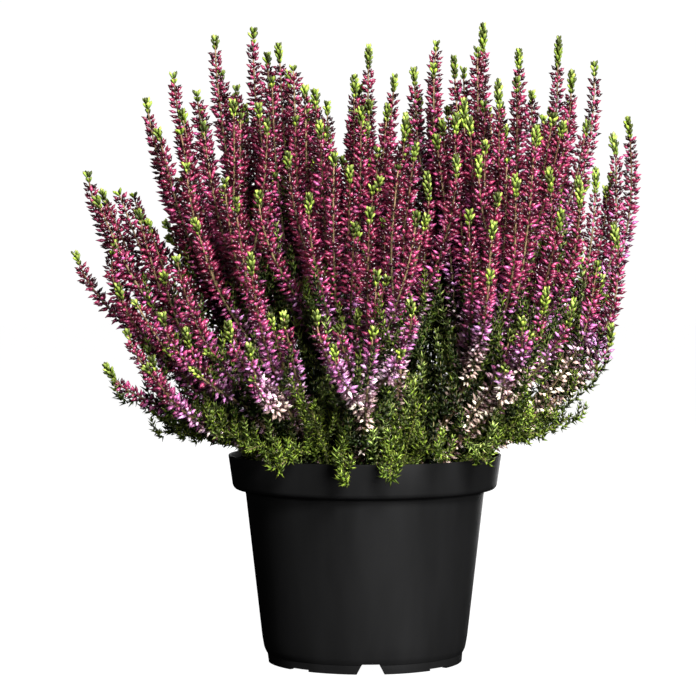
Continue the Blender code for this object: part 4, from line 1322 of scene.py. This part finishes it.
def make_fine_soil(rng):
    """Peat with a low uneven top, in the pot's inside."""
    band_foot = RIM_TOP - RIM_BAND
    band_radius = RIM_RADIUS - RIM_TAPER
    top_radius = band_radius - WALL - 0.4 - SOIL_EASE
    profile = [(0.0, SOIL_TOP)]
    profile += [(top_radius * ring / SOIL_RINGS, SOIL_TOP) for ring in range(1, SOIL_RINGS + 1)]
    profile += [
        (band_radius - WALL - 0.5 - SOIL_EASE, band_foot + 1.4),
        (BODY_TOP_RADIUS - WALL - SOIL_EASE, band_foot - 3.0),
        (BODY_LOW_RADIUS - WALL - SOIL_EASE, BODY_FOOT),
        (BODY_LOW_RADIUS - WALL - 1.8 - SOIL_EASE, FLOOR_UNDERSIDE + WALL + CLEARANCE),
        (0.0, FLOOR_UNDERSIDE + WALL + CLEARANCE),
    ]
    soil = turned_piece("soil_fine", profile, SOIL_SIDES)
    waves = rng.uniform(0.05, 0.9, (SOIL_WAVES, 2)) * rng.choice((-1.0, 1.0), (SOIL_WAVES, 2))
    phases = rng.uniform(0.0, 2.0 * math.pi, SOIL_WAVES)
    for vert in soil.data.vertices:
        x, y = vert.co.x / MM, vert.co.y / MM
        if vert.co.z / MM > SOIL_TOP - 0.5 and math.hypot(x, y) < top_radius - 0.5:
            swell = np.sin(waves @ (x, y) + phases)
            vert.co.z += (0.16 * float(swell.sum()) - 0.4 + 0.25 * float(swell[::2].max())) * MM
    look = soil_material()
    soil.data.materials.append(look)
    soil.data.shade_smooth()
    settle_piece(soil, ["soil"])
    scatter_crumbs(look, top_radius - 2.0, rng)


def scatter_crumbs(look, reach, rng):
    """Loose crumbs half sunk in the top of the peat."""
    crumbs = Growth()
    radius = reach * np.sqrt(rng.random(CRUMBS))
    turn = rng.uniform(0.0, 2.0 * math.pi, CRUMBS)
    origin = np.stack((radius * np.cos(turn), radius * np.sin(turn), np.full(CRUMBS, SOIL_TOP - 0.5)), axis=1)
    along = rng.normal(0.0, 1.0, (CRUMBS, 3))
    along[:, 2] = abs(along[:, 2]) * 0.5
    along /= np.linalg.norm(along, axis=1, keepdims=True)
    size = rng.uniform(0.8, 2.4, CRUMBS)
    crumbs.stamp(TIP_LEAF, origin, along, rng.normal(0.0, 1.0, (CRUMBS, 3)), size, size * 0.8, size * 0.7,
                 rng.random(CRUMBS), pick_painted_light_tones(CRUMBS, rng))
    crumbs.piece("soil_crumbs", look, "soil", "peat")


def make_stage():
    """A wide pale floor. It glows like a light table, but throws no light up at the plant."""
    bpy.ops.mesh.primitive_circle_add(vertices=FLOOR_SIDES, radius=FLOOR_RADIUS, fill_type="NGON")
    floor = bpy.context.object
    floor.name = "floor"
    look, _, _ = principled("pale_floor", {
        "Base Color": (FLOOR_SHADE, FLOOR_SHADE, FLOOR_SHADE, 1.0),
        "Roughness": 0.9,
        "Specular IOR Level": 0.1,
        "Emission Color": (1.0, 1.0, 1.0, 1.0),
        "Emission Strength": FLOOR_GLOW,
    })
    floor.data.materials.append(look)
    floor.visible_diffuse = False
    floor.visible_glossy = False


def add_light(name, place, size, power):
    """A square lamp that faces the middle of the plant."""
    data = bpy.data.lights.new(name, "AREA")
    data.shape = "RECTANGLE"
    data.size = size
    data.size_y = size
    data.energy = power
    lamp = bpy.data.objects.new(name, data)
    lamp.location = place
    lamp.rotation_euler = (Vector(LIGHT_TARGET) - Vector(place)).to_track_quat("-Z", "Y").to_euler()
    bpy.context.scene.collection.objects.link(lamp)


def make_light():
    """A soft key from the front right, weaker lights round it, and white surroundings that are only seen."""
    world = bpy.data.worlds.new("studio")
    world.use_nodes = True
    surround = world.node_tree.nodes["Background"]
    surround.inputs["Color"].default_value = (1.0, 1.0, 1.0, 1.0)
    surround.inputs["Strength"].default_value = WORLD_LIGHT
    world.cycles_visibility.diffuse = False
    world.cycles_visibility.glossy = False
    bpy.context.scene.world = world
    for light in LIGHTS:
        add_light(*light)
    bpy.context.scene.view_settings.view_transform = "Standard"


def make_camera():
    """A long lens at the height of the plant's middle, tilted a little down."""
    data = bpy.data.cameras.new("camera")
    data.sensor_width = CAMERA_SENSOR
    data.lens = CAMERA_LENS
    camera = bpy.data.objects.new("camera", data)
    camera.location = CAMERA_PLACE
    camera.rotation_euler = (math.pi / 2 - CAMERA_TILT, 0.0, 0.0)
    bpy.context.scene.collection.objects.link(camera)
    bpy.context.scene.camera = camera


def dress():
    """The whole scene, with every CAD node replaced by its finer pieces."""
    make_camera()
    make_light()
    make_stage()
    plant, branches = grow_plant()
    rng = np.random.default_rng(SEED + 3)
    looks = (bud_material(), leaf_material())
    crowd = np.vstack([upper_points(Line(spike["points"]), 0.3) for spike in plant])
    for node in sorted({spike["node"] for spike in plant}):
        spikes = [spike for spike in plant if spike["node"] == node]
        if node < branches:
            crowd = dress_branch(f"flower_branch_{node + 1:02d}", spikes, looks, crowd, rng)
        else:
            dress_shoots(f"leafy_shoot_{node - branches + 1:02d}", spikes, looks[1], rng)
    make_fine_pot()
    make_fine_soil(rng)


dress()
